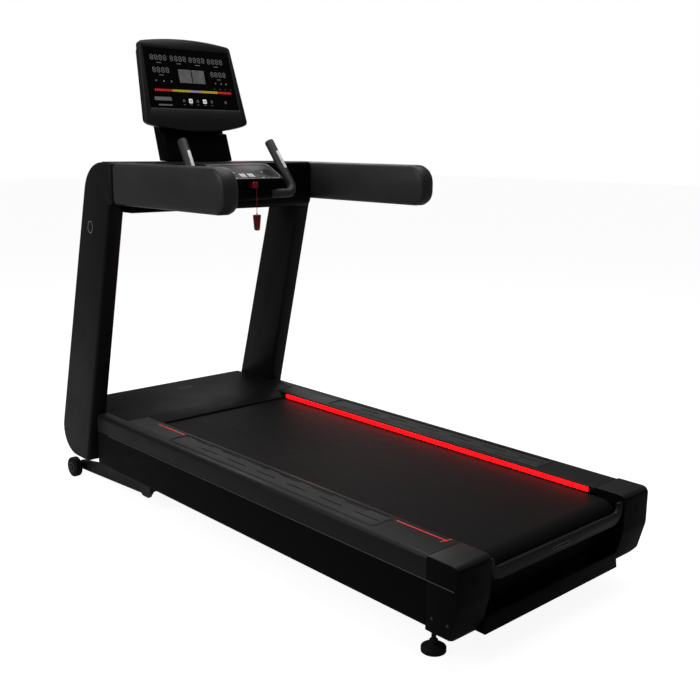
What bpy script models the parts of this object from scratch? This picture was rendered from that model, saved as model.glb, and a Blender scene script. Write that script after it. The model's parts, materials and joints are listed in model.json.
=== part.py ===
"""Motorised commercial treadmill with a power incline, as separate working parts.

Metres, +Z up. The runner faces +Y and +X is on the runner's right. The origin
is on the floor below the middle of the machine. Lengths along the machine are
given as distances from the rear end of the rails and turned into Y by at().
"""

import math

import bmesh
import bpy
from mathutils import Matrix, Vector

# ---- driving dimensions ----
LENGTH = 2.10  # rear end of the rails to the front of the hood
RAIL_HALF_WIDTH = 0.443
RAIL_TOP = 0.315
FIT = 0.0005  # gap between pieces that touch
RUN = 0.0005  # clearance of a turning or sliding fit
WALL = 0.004  # moulded cover wall

# running surface
BELT_HALF_WIDTH = 0.300
BELT_THICK = 0.003
BELT_DROP = 0.022  # rail top down to the belt
DECK_THICK = 0.025
DECK_HALF_WIDTH = 0.385
ROLLER_RADIUS = 0.045
REAR_ROLLER_AT = 0.072
FRONT_ROLLER_AT = 1.700
AXLE_RADIUS = 0.010
PULLEY_RADIUS = ROLLER_RADIUS + 0.013
PULLEY_WIDTH = 0.020
DRUM_OVERHANG = 0.003  # the rollers reach this far past the belt's edges
DECK_GAP = 0.012  # between the deck's rear end and the roller

# steel frame
BEAM_X = 0.375
BEAM_WIDTH = 0.040
BEAM_BOTTOM = 0.130
BEAM_HEIGHT = 0.088
BEAM_REAR_AT = 0.040
BEAM_FRONT_AT = 1.960
TUBE_WALL = 0.003
CROSS_AT = {"rear": 0.30, "middle": 0.70, "front": 1.094}
CROSS_SIZE = (0.060, 0.040)  # along Y, along Z
CROSS_BOTTOM = 0.140
MOTOR_PLATE_AT = (1.835, 2.045)
MOTOR_PLATE_THICK = 0.008
MOTOR_PLATE_LIFT = 0.004  # plate's underside above the beam's bottom
BLOCK_HALF = 0.030  # pillow block, half its length along the beam
BLOCK_RISE = 0.026  # its top above the roller's axis
BLOCK_THICK = 0.024

# covers
RAIL_INNER = 0.312
TRIM_HEIGHT = 0.248  # seam between the rail cover and the side panel
PANEL_BOTTOM = 0.122
RAIL_ROUND = 0.014
CAP_LENGTH = 0.105
CAP_BOTTOM = 0.085
CAP_HEEL = 0.115  # the cap's rear face starts to turn under this far above its bottom
CAP_TUCK = 0.030  # how far the cap's bottom lies ahead of its rear face
HOOD_AT = 1.660
LIP_AT = 1.605
HOOD_BOTTOM = 0.175
EDGE_LIFT = 0.003  # clearance of a cover's edge above the belt
STRIP_DEPTH = 0.007
BAR_THICK = 0.015  # rear bar, front to back
BAR_DEPTH = 0.036  # its height in the middle
BAR_POST = 0.018  # width of its upturned ends
BAR_DROP = 0.014  # its lower edge below the roller's axis

# uprights, arms and console
SIDE_INNER = 0.398
SIDE_OUTER = 0.4625
ARM_TOP = 1.262
ARM_HEIGHT = 0.144
ARM_REAR_AT = 0.937
ARM_SEAM_AT = 1.600
UPRIGHT_BOTTOM = 0.118
UPRIGHT_REAR_AT = 1.869  # rear edge at the upright's bottom
UPRIGHT_FRONT_AT = 2.096
UPRIGHT_REAR_LEAN = 0.2445  # metres back per metre up
UPRIGHT_FRONT_LEAN = 0.2830
ELBOW_RADIUS = 0.125
TOE_RADIUS = 0.100
CONSOLE_FRONT_AT = 1.800
CONSOLE_REAR_AT = 1.550
CONSOLE_BOTTOM = 1.088
TRAY_DEPTH = 0.045
TRAY_X = (0.160, 0.365)
TRAY_AT = (1.590, 1.700)
UPRIGHT_WALL = 0.005
ARM_WALL = 0.008

# control pod, keys and grips
POD_REAR_AT = 1.400
POD_TOP_AT = 1.500
POD_LOW = 1.206  # ends of the pod's sloping face
POD_HIGH = 1.256
POD_HALF = 0.142
POD_LIP = 0.008
POD_DEPTH = 0.034
KEY_WALL_AT = 1.432
BUTTON_HALF = 0.0085
BUTTON_AT = 0.024  # ahead of the pod's rear edge
BUTTON_X = {"start_button": -0.030, "stop_button": 0.006}
BUTTON_TRAVEL = 0.0015
GRIP_RADIUS = 0.0175
GRIP_BEND = 0.036
GRIP_TOP = (0.196, 1.560, 1.339)  # X, distance from the rear, height
GRIP_CORNER_X = 0.216
BAR_HEIGHT = 1.150
BAR_AT = 1.428
MOUNT_HALF = 0.095
SENSOR_SIZE = (0.012, 0.0016, 0.084)
SENSOR_ALONG = 0.40  # share of the grip's straight, from its top

# safety key and lanyard
KEY_HALF = 0.020
KEY_REAR_AT = 1.396
CLIP_HALF_TOP = 0.0155
CLIP_HALF_LOW = 0.0095
CLIP_LENGTH = 0.058
CLIP_THICK = 0.012
CORD_X = 0.014
CORD_RADIUS = 0.0012
CORD_TOP = 1.1725
CORD_BOTTOM = 1.0775
CORD_ROUTE = [
    (CORD_X, 1.4020, CORD_TOP),
    (CORD_X + 0.0002, 1.4019, 1.158),
    (CORD_X + 0.0007, 1.4015, 1.140),
    (CORD_X + 0.0010, 1.4010, 1.120),
    (CORD_X + 0.0006, 1.4006, 1.100),
    (CORD_X, 1.4005, CORD_BOTTOM),
]

# display
DISPLAY_TILT = math.radians(16)
DISPLAY_FOOT = (1.737, 1.403)  # distance from rear and height of the face's lower corners
DISPLAY_FACE = 0.308  # lower to upper corners along the face
DISPLAY_HALF_LOW = 0.229
DISPLAY_HALF_HIGH = 0.204
BEZEL_THICK = 0.022
HOUSING_THICK = 0.034
WINDOW = (0.202, 0.191, 0.056, 0.286)  # half widths low and high, bottom and top along the face
SCREEN_RECESS = 0.002
SCREEN_THICK = 0.010
MAST_HALF = 0.146
MAST_TOP = 1.470
MAST_SHELF = 1.368  # height where the mast leaves the display

# incline lift
PIVOT_AT = 1.550
PIVOT_HEIGHT = 0.077
PIVOT_RADIUS = 0.008
LIFT_WHEEL_AT = 2.058
LIFT_WHEEL_RADIUS = 0.040
LIFT_WHEEL_WIDTH = 0.030
ARM_PLATE = 0.012
ARM_DEPTH = 0.048
CRANK_LENGTH = 0.090
CRANK_BACK = math.radians(15)  # the crank starts this far behind upright
SCREW_RADIUS = 0.011
SCREW_PIN = 0.005
ACTUATOR_FRONT_AT = 1.365
ACTUATOR_LENGTH = 0.240
SCREW_INSIDE = 0.060  # length of the screw that stays inside the motor at rest
FORK_HALF = 0.014
FORK_GAP_HALF = 0.0075
CRANK_THICK = 0.012
LIFT_TUBE_RADIUS = 0.017
BRACE_BACK = 0.160  # lift frame's second tube behind the wheel axle
BRACKET_THICK = 0.008
COLLAR_LENGTH = 0.017  # between the lift arm and its wheel

# feet
FOOT_X = 0.356
FOOT_AT = 0.150
FOOT_RADIUS = 0.035
STEM_RADIUS = 0.007
STEM_TOP = 0.118

# drive
MOTOR_AT = 1.925
MOTOR_HEIGHT = 0.226
MOTOR_RADIUS = 0.068
MOTOR_PULLEY_RADIUS = 0.026
DRIVE_X = -0.333
MOTOR_FACE_X = -0.300
MOTOR_LENGTH = 0.250
DRIVE_BELT_THICK = 0.0022
DRIVE_BELT_EDGE = 0.0025  # pulley face left bare beside the belt

BELT_TOP = RAIL_TOP - BELT_DROP
ROLLER_HEIGHT = BELT_TOP - BELT_THICK - ROLLER_RADIUS
DECK_TOP = BELT_TOP - BELT_THICK - FIT
BEAM_TOP = BEAM_BOTTOM + BEAM_HEIGHT
PLATE_TOP = BEAM_BOTTOM + MOTOR_PLATE_LIFT + MOTOR_PLATE_THICK
LIFT_INNER = BEAM_X + 0.004
LIFT_OUTER = LIFT_INNER + ARM_PLATE
SIDES = (("left", -1), ("right", 1))


def at(distance):
    """Y of a place this far from the rear end of the rails."""
    return distance - LENGTH / 2


for old in list(bpy.data.objects):
    bpy.data.objects.remove(old, do_unlink=True)

PARTS = bpy.data.collections.new("Treadmill")
CUTTERS = bpy.data.collections.new("Cutters")
for group in (PARTS, CUTTERS):
    bpy.context.scene.collection.children.link(group)


def material(name, color, roughness, metallic=0.0):
    made = bpy.data.materials.new(name)
    made.use_nodes = True
    shader = made.node_tree.nodes["Principled BSDF"]
    shader.inputs["Base Color"].default_value = (*color, 1.0)
    shader.inputs["Roughness"].default_value = roughness
    shader.inputs["Metallic"].default_value = metallic
    return made


FINISHES = {
    "cover": ((0.022, 0.022, 0.024), 0.50, 0.0),
    "coat": ((0.018, 0.018, 0.020), 0.42, 0.0),
    "steel": ((0.55, 0.56, 0.58), 0.30, 1.0),
    "rubber": ((0.012, 0.012, 0.013), 0.75, 0.0),
    "belt": ((0.014, 0.014, 0.015), 0.70, 0.0),
    "board": ((0.20, 0.13, 0.07), 0.60, 0.0),
    "motor": ((0.10, 0.11, 0.12), 0.45, 0.6),
    "glass": ((0.004, 0.004, 0.005), 0.08, 0.0),
    "led": ((0.90, 0.02, 0.02), 0.35, 0.0),
    "red": ((0.45, 0.02, 0.03), 0.40, 0.0),
    "grip": ((0.016, 0.016, 0.017), 0.62, 0.0),
    "white": ((0.80, 0.80, 0.80), 0.40, 0.0),
    "grey": ((0.070, 0.072, 0.075), 0.45, 0.0),
}


# ---- shape helpers ----
def place(shape, mesh_or_curve, matrix, finish, group=None):
    """Link an object and give it its own Principled material."""
    made = bpy.data.objects.new(shape, mesh_or_curve)
    made.matrix_world = matrix
    (group or PARTS).objects.link(made)
    if group is None:
        made.data.materials.append(material(shape, *FINISHES[finish]))
    else:
        made.hide_render = True
        made.display_type = "WIRE"
    return made


def centre_of(low, high):
    return [(a + b) / 2 for a, b in zip(low, high)]


def add_bevel(made, width, segments=2):
    bevel = made.modifiers.new("Round", "BEVEL")
    bevel.width = width
    bevel.segments = segments
    bevel.limit_method = "ANGLE"
    bevel.angle_limit = math.radians(40)


def box(name, low, high, finish="coat", rounding=0.0, group=None):
    """A box between two corners, with its origin at its middle."""
    bpy.ops.mesh.primitive_cube_add(size=1.0)
    mesh = bpy.context.object.data
    bpy.data.objects.remove(bpy.context.object)
    mesh.transform(Matrix.Diagonal([b - a for a, b in zip(low, high)] + [1.0]))
    made = place(name, mesh, Matrix.Translation(centre_of(low, high)), finish, group)
    if rounding:
        add_bevel(made, rounding)
    return made


TURN_TO = {
    "X": Matrix(((0, 0, 1), (1, 0, 0), (0, 1, 0))).to_4x4(),
    "Y": Matrix(((1, 0, 0), (0, 0, -1), (0, 1, 0))).to_4x4(),
    "Z": Matrix.Identity(4),
}


def cylinder(name, radius, length, middle, axis="X", finish="steel", sides=32, group=None):
    bpy.ops.mesh.primitive_cylinder_add(radius=radius, depth=length, vertices=sides)
    mesh = bpy.context.object.data
    bpy.data.objects.remove(bpy.context.object)
    made = place(name, mesh, Matrix.Translation(middle) @ TURN_TO[axis], finish, group)
    made.data.shade_smooth()
    made.data.set_sharp_from_angle(angle=math.radians(35))
    return made


def turned(name, profile, middle, axis="X", finish="steel", sides=40):
    """A ring of (radius, height) points turned round an axis, open where it lies on the axis."""
    mesh = bpy.data.meshes.new(name)
    points = [(radius, 0.0, height) for radius, height in profile]
    edges = [(i, (i + 1) % len(points)) for i in range(len(points))]
    if profile[0][0] == 0.0:
        edges.pop()
    mesh.from_pydata(points, edges, [])
    made = place(name, mesh, Matrix.Translation(middle) @ TURN_TO[axis], finish)
    screw = made.modifiers.new("Turn", "SCREW")
    screw.steps = sides
    screw.render_steps = sides
    screw.use_merge_vertices = True
    screw.merge_threshold = 0.0001
    return made


def solid_turn(name, profile, middle, axis="X", finish="steel", sides=40):
    """A solid turned piece: its (radius, height) profile is closed along the axis."""
    return turned(name, [(0.0, profile[0][1])] + profile + [(0.0, profile[-1][1])], middle, axis, finish, sides)


def ring_profile(inner, outer, half, edge=0.001):
    """Bore, faces and a chamfered rim, running down the outer side."""
    return [
        (outer, half - edge),
        (outer, edge - half),
        (outer - edge, -half),
        (inner, -half),
        (inner, half),
        (outer - edge, half),
    ]


def rounded(corners, steps=5):
    """Points of a flat outline whose corners are (a, b, radius)."""
    points = []
    count = len(corners)
    for i, (a, b, radius) in enumerate(corners):
        corner = Vector((a, b))
        before = (Vector(corners[i - 1][:2]) - corner).normalized()
        after = (Vector(corners[(i + 1) % count][:2]) - corner).normalized()
        if radius <= 0:
            points.append(corner)
            continue
        half = before.angle(after) / 2
        reach = radius / math.tan(half)
        middle = corner + (before + after).normalized() * (radius / math.sin(half))
        start = corner + before * reach - middle
        turn = math.pi - 2 * half
        if start.cross(corner + after * reach - middle) < 0:
            turn = -turn
        for step in range(steps + 1):
            angle = turn * step / steps
            spun = Matrix.Rotation(angle, 2) @ start
            points.append(middle + spun)
    return points


def circle(middle, radius, sides=24):
    return [
        Vector(middle) + radius * Vector((math.cos(t), math.sin(t)))
        for t in (2 * math.pi * i / sides for i in range(sides))
    ]


def area_of(points):
    return sum(a.cross(b) for a, b in zip(points, points[1:] + points[:1])) / 2


def plate(name, rings, axis, low, high, finish="coat", group=None, rounding=0.0, frame=None):
    """A flat outline with holes, thick from low to high along an axis.

    X plates are drawn in (Y, Z), Y plates in (X, Z) and Z plates in (X, Y).
    """
    curve = bpy.data.curves.new(name, "CURVE")
    curve.dimensions = "2D"
    curve.fill_mode = "BOTH"
    curve.extrude = (high - low) / 2
    for index, ring in enumerate(rings):
        points = [Vector(point) for point in ring]
        if (area_of(points) > 0) != (index == 0):
            points.reverse()
        spline = curve.splines.new("POLY")
        spline.points.add(len(points) - 1)
        for slot, point in zip(spline.points, points):
            slot.co = (point.x, point.y, 0.0, 1.0)
        spline.use_cyclic_u = True
    middle = (low + high) / 2
    shift = {"X": (middle, 0, 0), "Y": (0, middle, 0), "Z": (0, 0, middle)}[axis]
    matrix = frame if frame else Matrix.Translation(shift) @ TURN_TO[axis]
    made = as_mesh(place(name, curve, matrix, finish, group))
    if rounding:
        add_bevel(made, rounding)
    return made


def as_mesh(curve_object):
    """A mesh object in the curve's place, with its caps welded."""
    bpy.context.view_layer.update()
    graph = bpy.context.evaluated_depsgraph_get()
    mesh = bpy.data.meshes.new_from_object(curve_object.evaluated_get(graph))
    weld(mesh)
    name = curve_object.name
    made = bpy.data.objects.new(name + "_mesh", mesh)
    made.matrix_world = curve_object.matrix_world
    made.hide_render = curve_object.hide_render
    made.display_type = curve_object.display_type
    curve_object.users_collection[0].objects.link(made)
    bpy.data.objects.remove(curve_object)
    made.name = name
    return made


def weld(mesh):
    work = bmesh.new()
    work.from_mesh(mesh)
    bmesh.ops.remove_doubles(work, verts=work.verts, dist=0.00001)
    bmesh.ops.dissolve_limit(work, angle_limit=0.001, verts=work.verts, edges=work.edges)
    bmesh.ops.recalc_face_normals(work, faces=work.faces)
    work.to_mesh(mesh)
    work.free()


def tube(name, points, radius, finish, detail):
    """A round bar along a list of points."""
    curve = bpy.data.curves.new(name, "CURVE")
    curve.dimensions = "3D"
    curve.bevel_depth = radius
    curve.bevel_resolution = detail
    curve.use_fill_caps = True
    spline = curve.splines.new("POLY")
    spline.points.add(len(points) - 1)
    for slot, point in zip(spline.points, points):
        slot.co = (*point, 1.0)
    return place(name, curve, Matrix.Identity(4), finish)


def bent(corners, radius, steps=6):
    """A path through 3-D corners with its inner corners rounded."""
    path = [Vector(corners[0])]
    for before, corner, after in zip(corners, corners[1:], corners[2:]):
        corner = Vector(corner)
        back = (Vector(before) - corner).normalized()
        ahead = (Vector(after) - corner).normalized()
        half = back.angle(ahead) / 2
        reach = radius / math.tan(half)
        middle = corner + (back + ahead).normalized() * (radius / math.sin(half))
        start = corner + back * reach - middle
        spin_axis = start.cross(corner + ahead * reach - middle).normalized()
        for step in range(steps + 1):
            turn = Matrix.Rotation((math.pi - 2 * half) * step / steps, 3, spin_axis)
            path.append(middle + turn @ start)
    path.append(Vector(corners[-1]))
    return path


def combine(made, other, operation="DIFFERENCE"):
    """Cut one object by another, or join them."""
    boolean = made.modifiers.new(operation.title(), "BOOLEAN")
    boolean.operation = operation
    boolean.object = other
    return made


def inset(points, wall):
    """The outline moved inwards by a wall's thickness."""
    points = [Vector(point) for point in points]
    if area_of(points) < 0:
        points.reverse()
    moved_in = []
    for before, point, after in zip([points[-1]] + points[:-1], points, points[1:] + points[:1]):
        ahead, back = (after - point).normalized(), (point - before).normalized()
        normal = Vector((-ahead.y - back.y, ahead.x + back.x))
        normal /= max(1.0 + ahead.dot(back), 0.2)
        moved_in.append(point + normal * wall)
    return moved_in


def hollow(made, outline, axis, low, high, wall, vent_low, vent_high):
    """Empty a plate to its wall, with one cable opening into the hollow."""
    shape = [inset(outline, wall)]
    core = plate(made.name + "_core", shape, axis, low + wall, high - wall, group=CUTTERS)
    vent = box(made.name + "_vent", vent_low, vent_high, group=CUTTERS)
    combine(combine(made, core), vent)


def mirrored(points, side):
    return [(side * a, b) for a, b in points]


# ---- steel frame ----
def box_tube(width, height, wall):
    """Outer and inner outline of a square tube about its middle."""
    outer = [(-width / 2, -height / 2), (width / 2, -height / 2)]
    outer += [(width / 2, height / 2), (-width / 2, height / 2)]
    scale_x = 1 - 2 * wall / width
    scale_y = 1 - 2 * wall / height
    return [outer, [(a * scale_x, b * scale_y) for a, b in outer]]


def moved(rings, a, b):
    return [[(x + a, y + b) for x, y in ring] for ring in rings]


def steel_frame():
    section = box_tube(BEAM_WIDTH, BEAM_HEIGHT, TUBE_WALL)
    middle = BEAM_BOTTOM + BEAM_HEIGHT / 2
    for name, side in SIDES:
        rings = moved(section, side * BEAM_X, middle)
        beam = plate("frame_beam_" + name, rings, "Y", at(BEAM_REAR_AT), at(BEAM_FRONT_AT))
        axle_block = bearing_block(
            "rear_axle_block_" + name, side * BEAM_X, REAR_ROLLER_AT, -TUBE_WALL / 2, CUTTERS
        )
        for welded in (axle_block, foot_bracket(name, side), *pivot_bracket(name, side)):
            combine(beam, welded, "UNION")
    reach = BEAM_X - BEAM_WIDTH / 2 - FIT
    for name, distance in CROSS_AT.items():
        rings = moved(
            box_tube(*CROSS_SIZE, TUBE_WALL),
            at(distance),
            CROSS_BOTTOM + CROSS_SIZE[1] / 2,
        )
        plate("cross_member_" + name, rings, "X", -reach, reach)
    box(
        "motor_plate",
        (-reach, at(MOTOR_PLATE_AT[0]), PLATE_TOP - MOTOR_PLATE_THICK),
        (reach, at(MOTOR_PLATE_AT[1]), PLATE_TOP),
    )


def deck():
    """The board under the belt, whose front end clears the drive belt, on its two cushions."""
    bottom = DECK_TOP - DECK_THICK
    rear = at(REAR_ROLLER_AT + ROLLER_RADIUS + DECK_GAP)
    front = at(FRONT_ROLLER_AT - PULLEY_RADIUS - DRIVE_BELT_THICK - 2 * FIT)
    box(
        "running_deck",
        (-DECK_HALF_WIDTH, rear, bottom),
        (DECK_HALF_WIDTH, front, DECK_TOP),
        "board",
        0.003,
    )
    for name, side in SIDES:
        low = (side * BEAM_X - BEAM_WIDTH / 2 + 0.004, rear + 0.02, BEAM_TOP + FIT)
        high = (side * BEAM_X + BEAM_WIDTH / 2 - 0.010, front - 0.02, bottom - FIT)
        box("deck_cushion_" + name, low, high, "rubber")


def belt_path(radius, rear, front, height, steps=14):
    """Outline round two equal rollers, as (Y, Z)."""
    points = []
    for middle, start in ((front, -90), (rear, 90)):
        for step in range(steps + 1):
            angle = math.radians(start + 180 * step / steps)
            points.append(
                (middle + radius * math.cos(angle), height + radius * math.sin(angle))
            )
    return points


def belt_and_rollers():
    rear, front = at(REAR_ROLLER_AT), at(FRONT_ROLLER_AT)
    inner = ROLLER_RADIUS + FIT
    outer = ROLLER_RADIUS + BELT_THICK
    plate(
        "running_belt",
        [
            belt_path(outer, rear, front, ROLLER_HEIGHT),
            belt_path(inner, rear, front, ROLLER_HEIGHT),
        ],
        "X",
        -BELT_HALF_WIDTH,
        BELT_HALF_WIDTH,
        "belt",
    )
    drum = BELT_HALF_WIDTH + DRUM_OVERHANG
    axle_end = BEAM_X + BEAM_WIDTH / 2 - 0.006
    profile = [(AXLE_RADIUS, axle_end), (AXLE_RADIUS, drum)]
    profile += [(ROLLER_RADIUS, drum), (ROLLER_RADIUS, -drum)]
    profile += [(AXLE_RADIUS, -drum), (AXLE_RADIUS, -axle_end)]
    solid_turn("front_roller", profile, (0, front, ROLLER_HEIGHT))
    turned(
        "rear_roller",
        ring_profile(AXLE_RADIUS + RUN, ROLLER_RADIUS, drum),
        (0, rear, ROLLER_HEIGHT),
    )
    cylinder("rear_axle", AXLE_RADIUS, 2 * axle_end, (0, rear, ROLLER_HEIGHT), sides=40)
    for name, side in SIDES:
        bearing_block("front_bearing_" + name, side * BEAM_X, FRONT_ROLLER_AT, FIT)


def bearing_block(name, x, distance, above, group=None):
    """A pillow block on the beam with the axle's bore through it."""
    y, half, top = at(distance), BLOCK_HALF, ROLLER_HEIGHT + BLOCK_RISE
    outline = rounded(
        [
            (y - half, BEAM_TOP + above, 0),
            (y + half, BEAM_TOP + above, 0),
            (y + half, top, 0.018),
            (y - half, top, 0.018),
        ]
    )
    bore = circle((y, ROLLER_HEIGHT), AXLE_RADIUS + RUN, 40)
    low, high = x - BLOCK_THICK / 2, x + BLOCK_THICK / 2
    return plate(name, [outline, bore], "X", low, high, "motor", group)


def pulley(name, radius, x, y, z):
    rim, flange = radius + 0.0025, 0.002
    half = PULLEY_WIDTH / 2
    profile = [(AXLE_RADIUS + FIT, half), (rim, half), (rim, half - flange)]
    profile += [(radius, half - flange), (radius, flange - half)]
    profile += [(rim, flange - half), (rim, -half), (AXLE_RADIUS + FIT, -half)]
    return turned(name, profile, (x, y, z), sides=48)


def two_pulley_loop(big, small, big_at, small_at, steps=16):
    """Outline of an open belt round two unequal circles, as (Y, Z)."""
    big_at, small_at = Vector(big_at), Vector(small_at)
    line = small_at - big_at
    heading = math.atan2(line.y, line.x)
    lean = math.acos((big - small) / line.length)
    points = []
    for middle, radius, start, sweep in (
        (small_at, small, heading - lean, 2 * lean),
        (big_at, big, heading + lean, 2 * math.pi - 2 * lean),
    ):
        for step in range(steps + 1):
            angle = start + sweep * step / steps
            points.append(middle + radius * Vector((math.cos(angle), math.sin(angle))))
    return points


def drive():
    y, z = at(MOTOR_AT), MOTOR_HEIGHT
    front = at(FRONT_ROLLER_AT)
    pulley("drive_pulley", PULLEY_RADIUS, DRIVE_X, front, ROLLER_HEIGHT)
    half = PULLEY_WIDTH / 2
    shaft_end = MOTOR_FACE_X - FIT - DRIVE_X
    rotor = [(AXLE_RADIUS, shaft_end), (AXLE_RADIUS, half)]
    rotor += [(MOTOR_PULLEY_RADIUS, half), (MOTOR_PULLEY_RADIUS, -half)]
    solid_turn("motor_pulley", rotor, (DRIVE_X, y, z))
    inner = (PULLEY_RADIUS + FIT, MOTOR_PULLEY_RADIUS + FIT)
    places = ((front, ROLLER_HEIGHT), (y, z))
    plate(
        "drive_belt",
        [
            two_pulley_loop(*[radius + DRIVE_BELT_THICK for radius in inner], *places),
            two_pulley_loop(*inner, *places),
        ],
        "X",
        DRIVE_X - half + DRIVE_BELT_EDGE,
        DRIVE_X + half - DRIVE_BELT_EDGE,
        "rubber",
    )
    motor_low = MOTOR_FACE_X
    motor_high = motor_low + MOTOR_LENGTH
    body = cylinder(
        "drive_motor",
        MOTOR_RADIUS,
        motor_high - motor_low,
        ((motor_low + motor_high) / 2, y, z),
        finish="motor",
        sides=40,
    )
    floor = PLATE_TOP + FIT
    foot = box(
        "motor_foot_shape",
        (motor_low + 0.03, y - 0.060, floor),
        (motor_high - 0.03, y + 0.060, z),
        group=CUTTERS,
    )
    combine(body, foot, "UNION")
    box(
        "motor_controller",
        (0.150, at(1.845), floor),
        (0.325, at(2.010), floor + 0.105),
        "grey",
        0.004,
    )
    inlet = box(
        "power_inlet", (0.215, at(2.012), floor), (0.265, at(2.044), floor + 0.036), "rubber"
    )
    socket = box(
        "inlet_recess",
        (0.225, at(2.022), floor + 0.008),
        (0.255, at(2.060), floor + 0.029),
        group=CUTTERS,
    )
    combine(inlet, socket)


# ---- moulded covers ----
def rail_outline(side):
    """Cross-section of the rail's top cover, as (X, Z)."""
    a, b = RAIL_INNER, RAIL_HALF_WIDTH
    top, low = RAIL_TOP, BELT_TOP + EDGE_LIFT
    corners = [
        (a, low, 0),
        (a, top, 0.003),
        (b, top, RAIL_ROUND),
        (b, TRIM_HEIGHT + FIT, 0),
        (b - WALL, TRIM_HEIGHT + FIT, 0),
        (b - WALL, top - WALL, RAIL_ROUND - WALL),
        (a + WALL, top - WALL, 0),
        (a + WALL, low, 0),
    ]
    return [mirrored(rounded(corners, 4), side)]


def covers():
    upright_rear = UPRIGHT_REAR_AT - UPRIGHT_REAR_LEAN * (RAIL_TOP - UPRIGHT_BOTTOM)
    cover_front = upright_rear - 0.004
    for name, side in SIDES:
        rail = plate(
            "rail_cover_" + name,
            rail_outline(side),
            "Y",
            at(CAP_LENGTH + FIT),
            at(cover_front),
            "cover",
        )
        inner = sorted((0.0, side * SIDE_INNER))
        notch = box(
            "hood_notch_" + name,
            (inner[0], at(HOOD_AT - FIT), BELT_TOP - 0.05),
            (inner[1], at(LENGTH), RAIL_TOP + 0.05),
            group=CUTTERS,
        )
        combine(rail, notch)
        side_panel("side_panel_" + name, side, cover_front)
        end_cap("rear_cap_" + name, side)
        strip = sorted((side * (RAIL_INNER - FIT), side * (RAIL_INNER - FIT - STRIP_DEPTH)))
        box(
            "led_strip_" + name,
            (strip[0], at(CAP_LENGTH + 0.02), BELT_TOP + 0.004),
            (strip[1], at(LIP_AT - 0.01), RAIL_TOP - 0.003),
            "led",
        )
    hood()
    rear_guard()


def side_panel(name, side, front):
    """The lower side panel, whose bottom turns in under the machine."""
    outer, turn_in, tuck = RAIL_HALF_WIDTH, 0.036, 0.020
    corners = [
        (outer, TRIM_HEIGHT, 0),
        (outer, PANEL_BOTTOM, 0.012),
        (outer - turn_in, PANEL_BOTTOM - tuck, 0),
        (outer - turn_in, PANEL_BOTTOM - tuck + WALL, 0),
        (outer - WALL, PANEL_BOTTOM + WALL, 0.008),
        (outer - WALL, TRIM_HEIGHT, 0),
    ]
    outline = [mirrored(rounded(corners, 3), side)]
    plate(name, outline, "Y", at(CAP_LENGTH + FIT), at(front), "cover")


def end_cap(name, side):
    """The moulded rear end of a rail, hollow and open towards the front."""
    front, bottom = at(CAP_LENGTH), CAP_BOTTOM
    outline = rounded(
        [
            (front, bottom, 0),
            (front, RAIL_TOP, 0),
            (at(0), RAIL_TOP, 0.020),
            (at(0), bottom + CAP_HEEL, 0.060),
            (at(CAP_TUCK), bottom, 0.040),
        ],
        6,
    )
    low, high = sorted((side * (RAIL_INNER + FIT), side * RAIL_HALF_WIDTH))
    cap = plate(name, [outline], "X", low, high, "cover")
    inside = sorted((side * (RAIL_INNER + 0.005), side * (RAIL_HALF_WIDTH - WALL)))
    hollow = plate(
        name + "_hollow",
        [
            rounded(
                [
                    (front + 0.01, bottom + WALL, 0),
                    (front + 0.01, RAIL_TOP - WALL, 0),
                    (at(WALL), RAIL_TOP - WALL, 0.016),
                    (at(WALL), bottom + CAP_HEEL, 0.058),
                    (at(CAP_TUCK + WALL), bottom + WALL, 0.030),
                ]
            )
        ],
        "X",
        *inside,
        group=CUTTERS,
    )
    outer = RAIL_HALF_WIDTH
    wedge = plate(
        name + "_chamfer",
        [
            mirrored(
                [
                    (outer + 0.02, PANEL_BOTTOM),
                    (outer - 0.060, bottom - 0.006),
                    (outer - 0.060, bottom - 0.05),
                    (outer + 0.02, bottom - 0.05),
                ],
                side,
            )
        ],
        "Y",
        at(-0.02),
        front + 0.02,
        group=CUTTERS,
    )
    wall = sorted((side * (RAIL_INNER - 0.01), side * (RAIL_INNER + 0.01)))
    axle_slot = box(
        name + "_axle_slot",
        (wall[0], at(REAR_ROLLER_AT - 0.018), ROLLER_HEIGHT - 0.016),
        (wall[1], at(CAP_LENGTH + 0.02), ROLLER_HEIGHT + 0.016),
        group=CUTTERS,
    )
    combine(combine(combine(cap, hollow), wedge), axle_slot)


def hood():
    """The flat motor hood with its rounded nose, and the sloping lip in front of the belt."""
    top, nose = RAIL_TOP, at(LENGTH)
    outline = rounded(
        [
            (at(HOOD_AT), top, 0),
            (at(HOOD_AT), top - WALL, 0),
            (nose - 0.012, top - WALL, 0.036),
            (nose - WALL, HOOD_BOTTOM, 0),
            (nose, HOOD_BOTTOM, 0),
            (nose - 0.008, top, 0.040),
        ]
    )
    plate("motor_hood", [outline], "X", FIT - SIDE_INNER, SIDE_INNER - FIT, "cover")
    lip = rounded(
        [
            (at(HOOD_AT) - FIT, top, 0.001),
            (at(LIP_AT), BELT_TOP + 2 * EDGE_LIFT, 0),
            (at(LIP_AT), BELT_TOP + EDGE_LIFT, 0),
            (at(HOOD_AT) - FIT, BELT_TOP + EDGE_LIFT, 0),
        ]
    )
    reach = RAIL_INNER - 2 * FIT
    plate("hood_lip", [lip], "X", -reach, reach, "cover")


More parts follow.
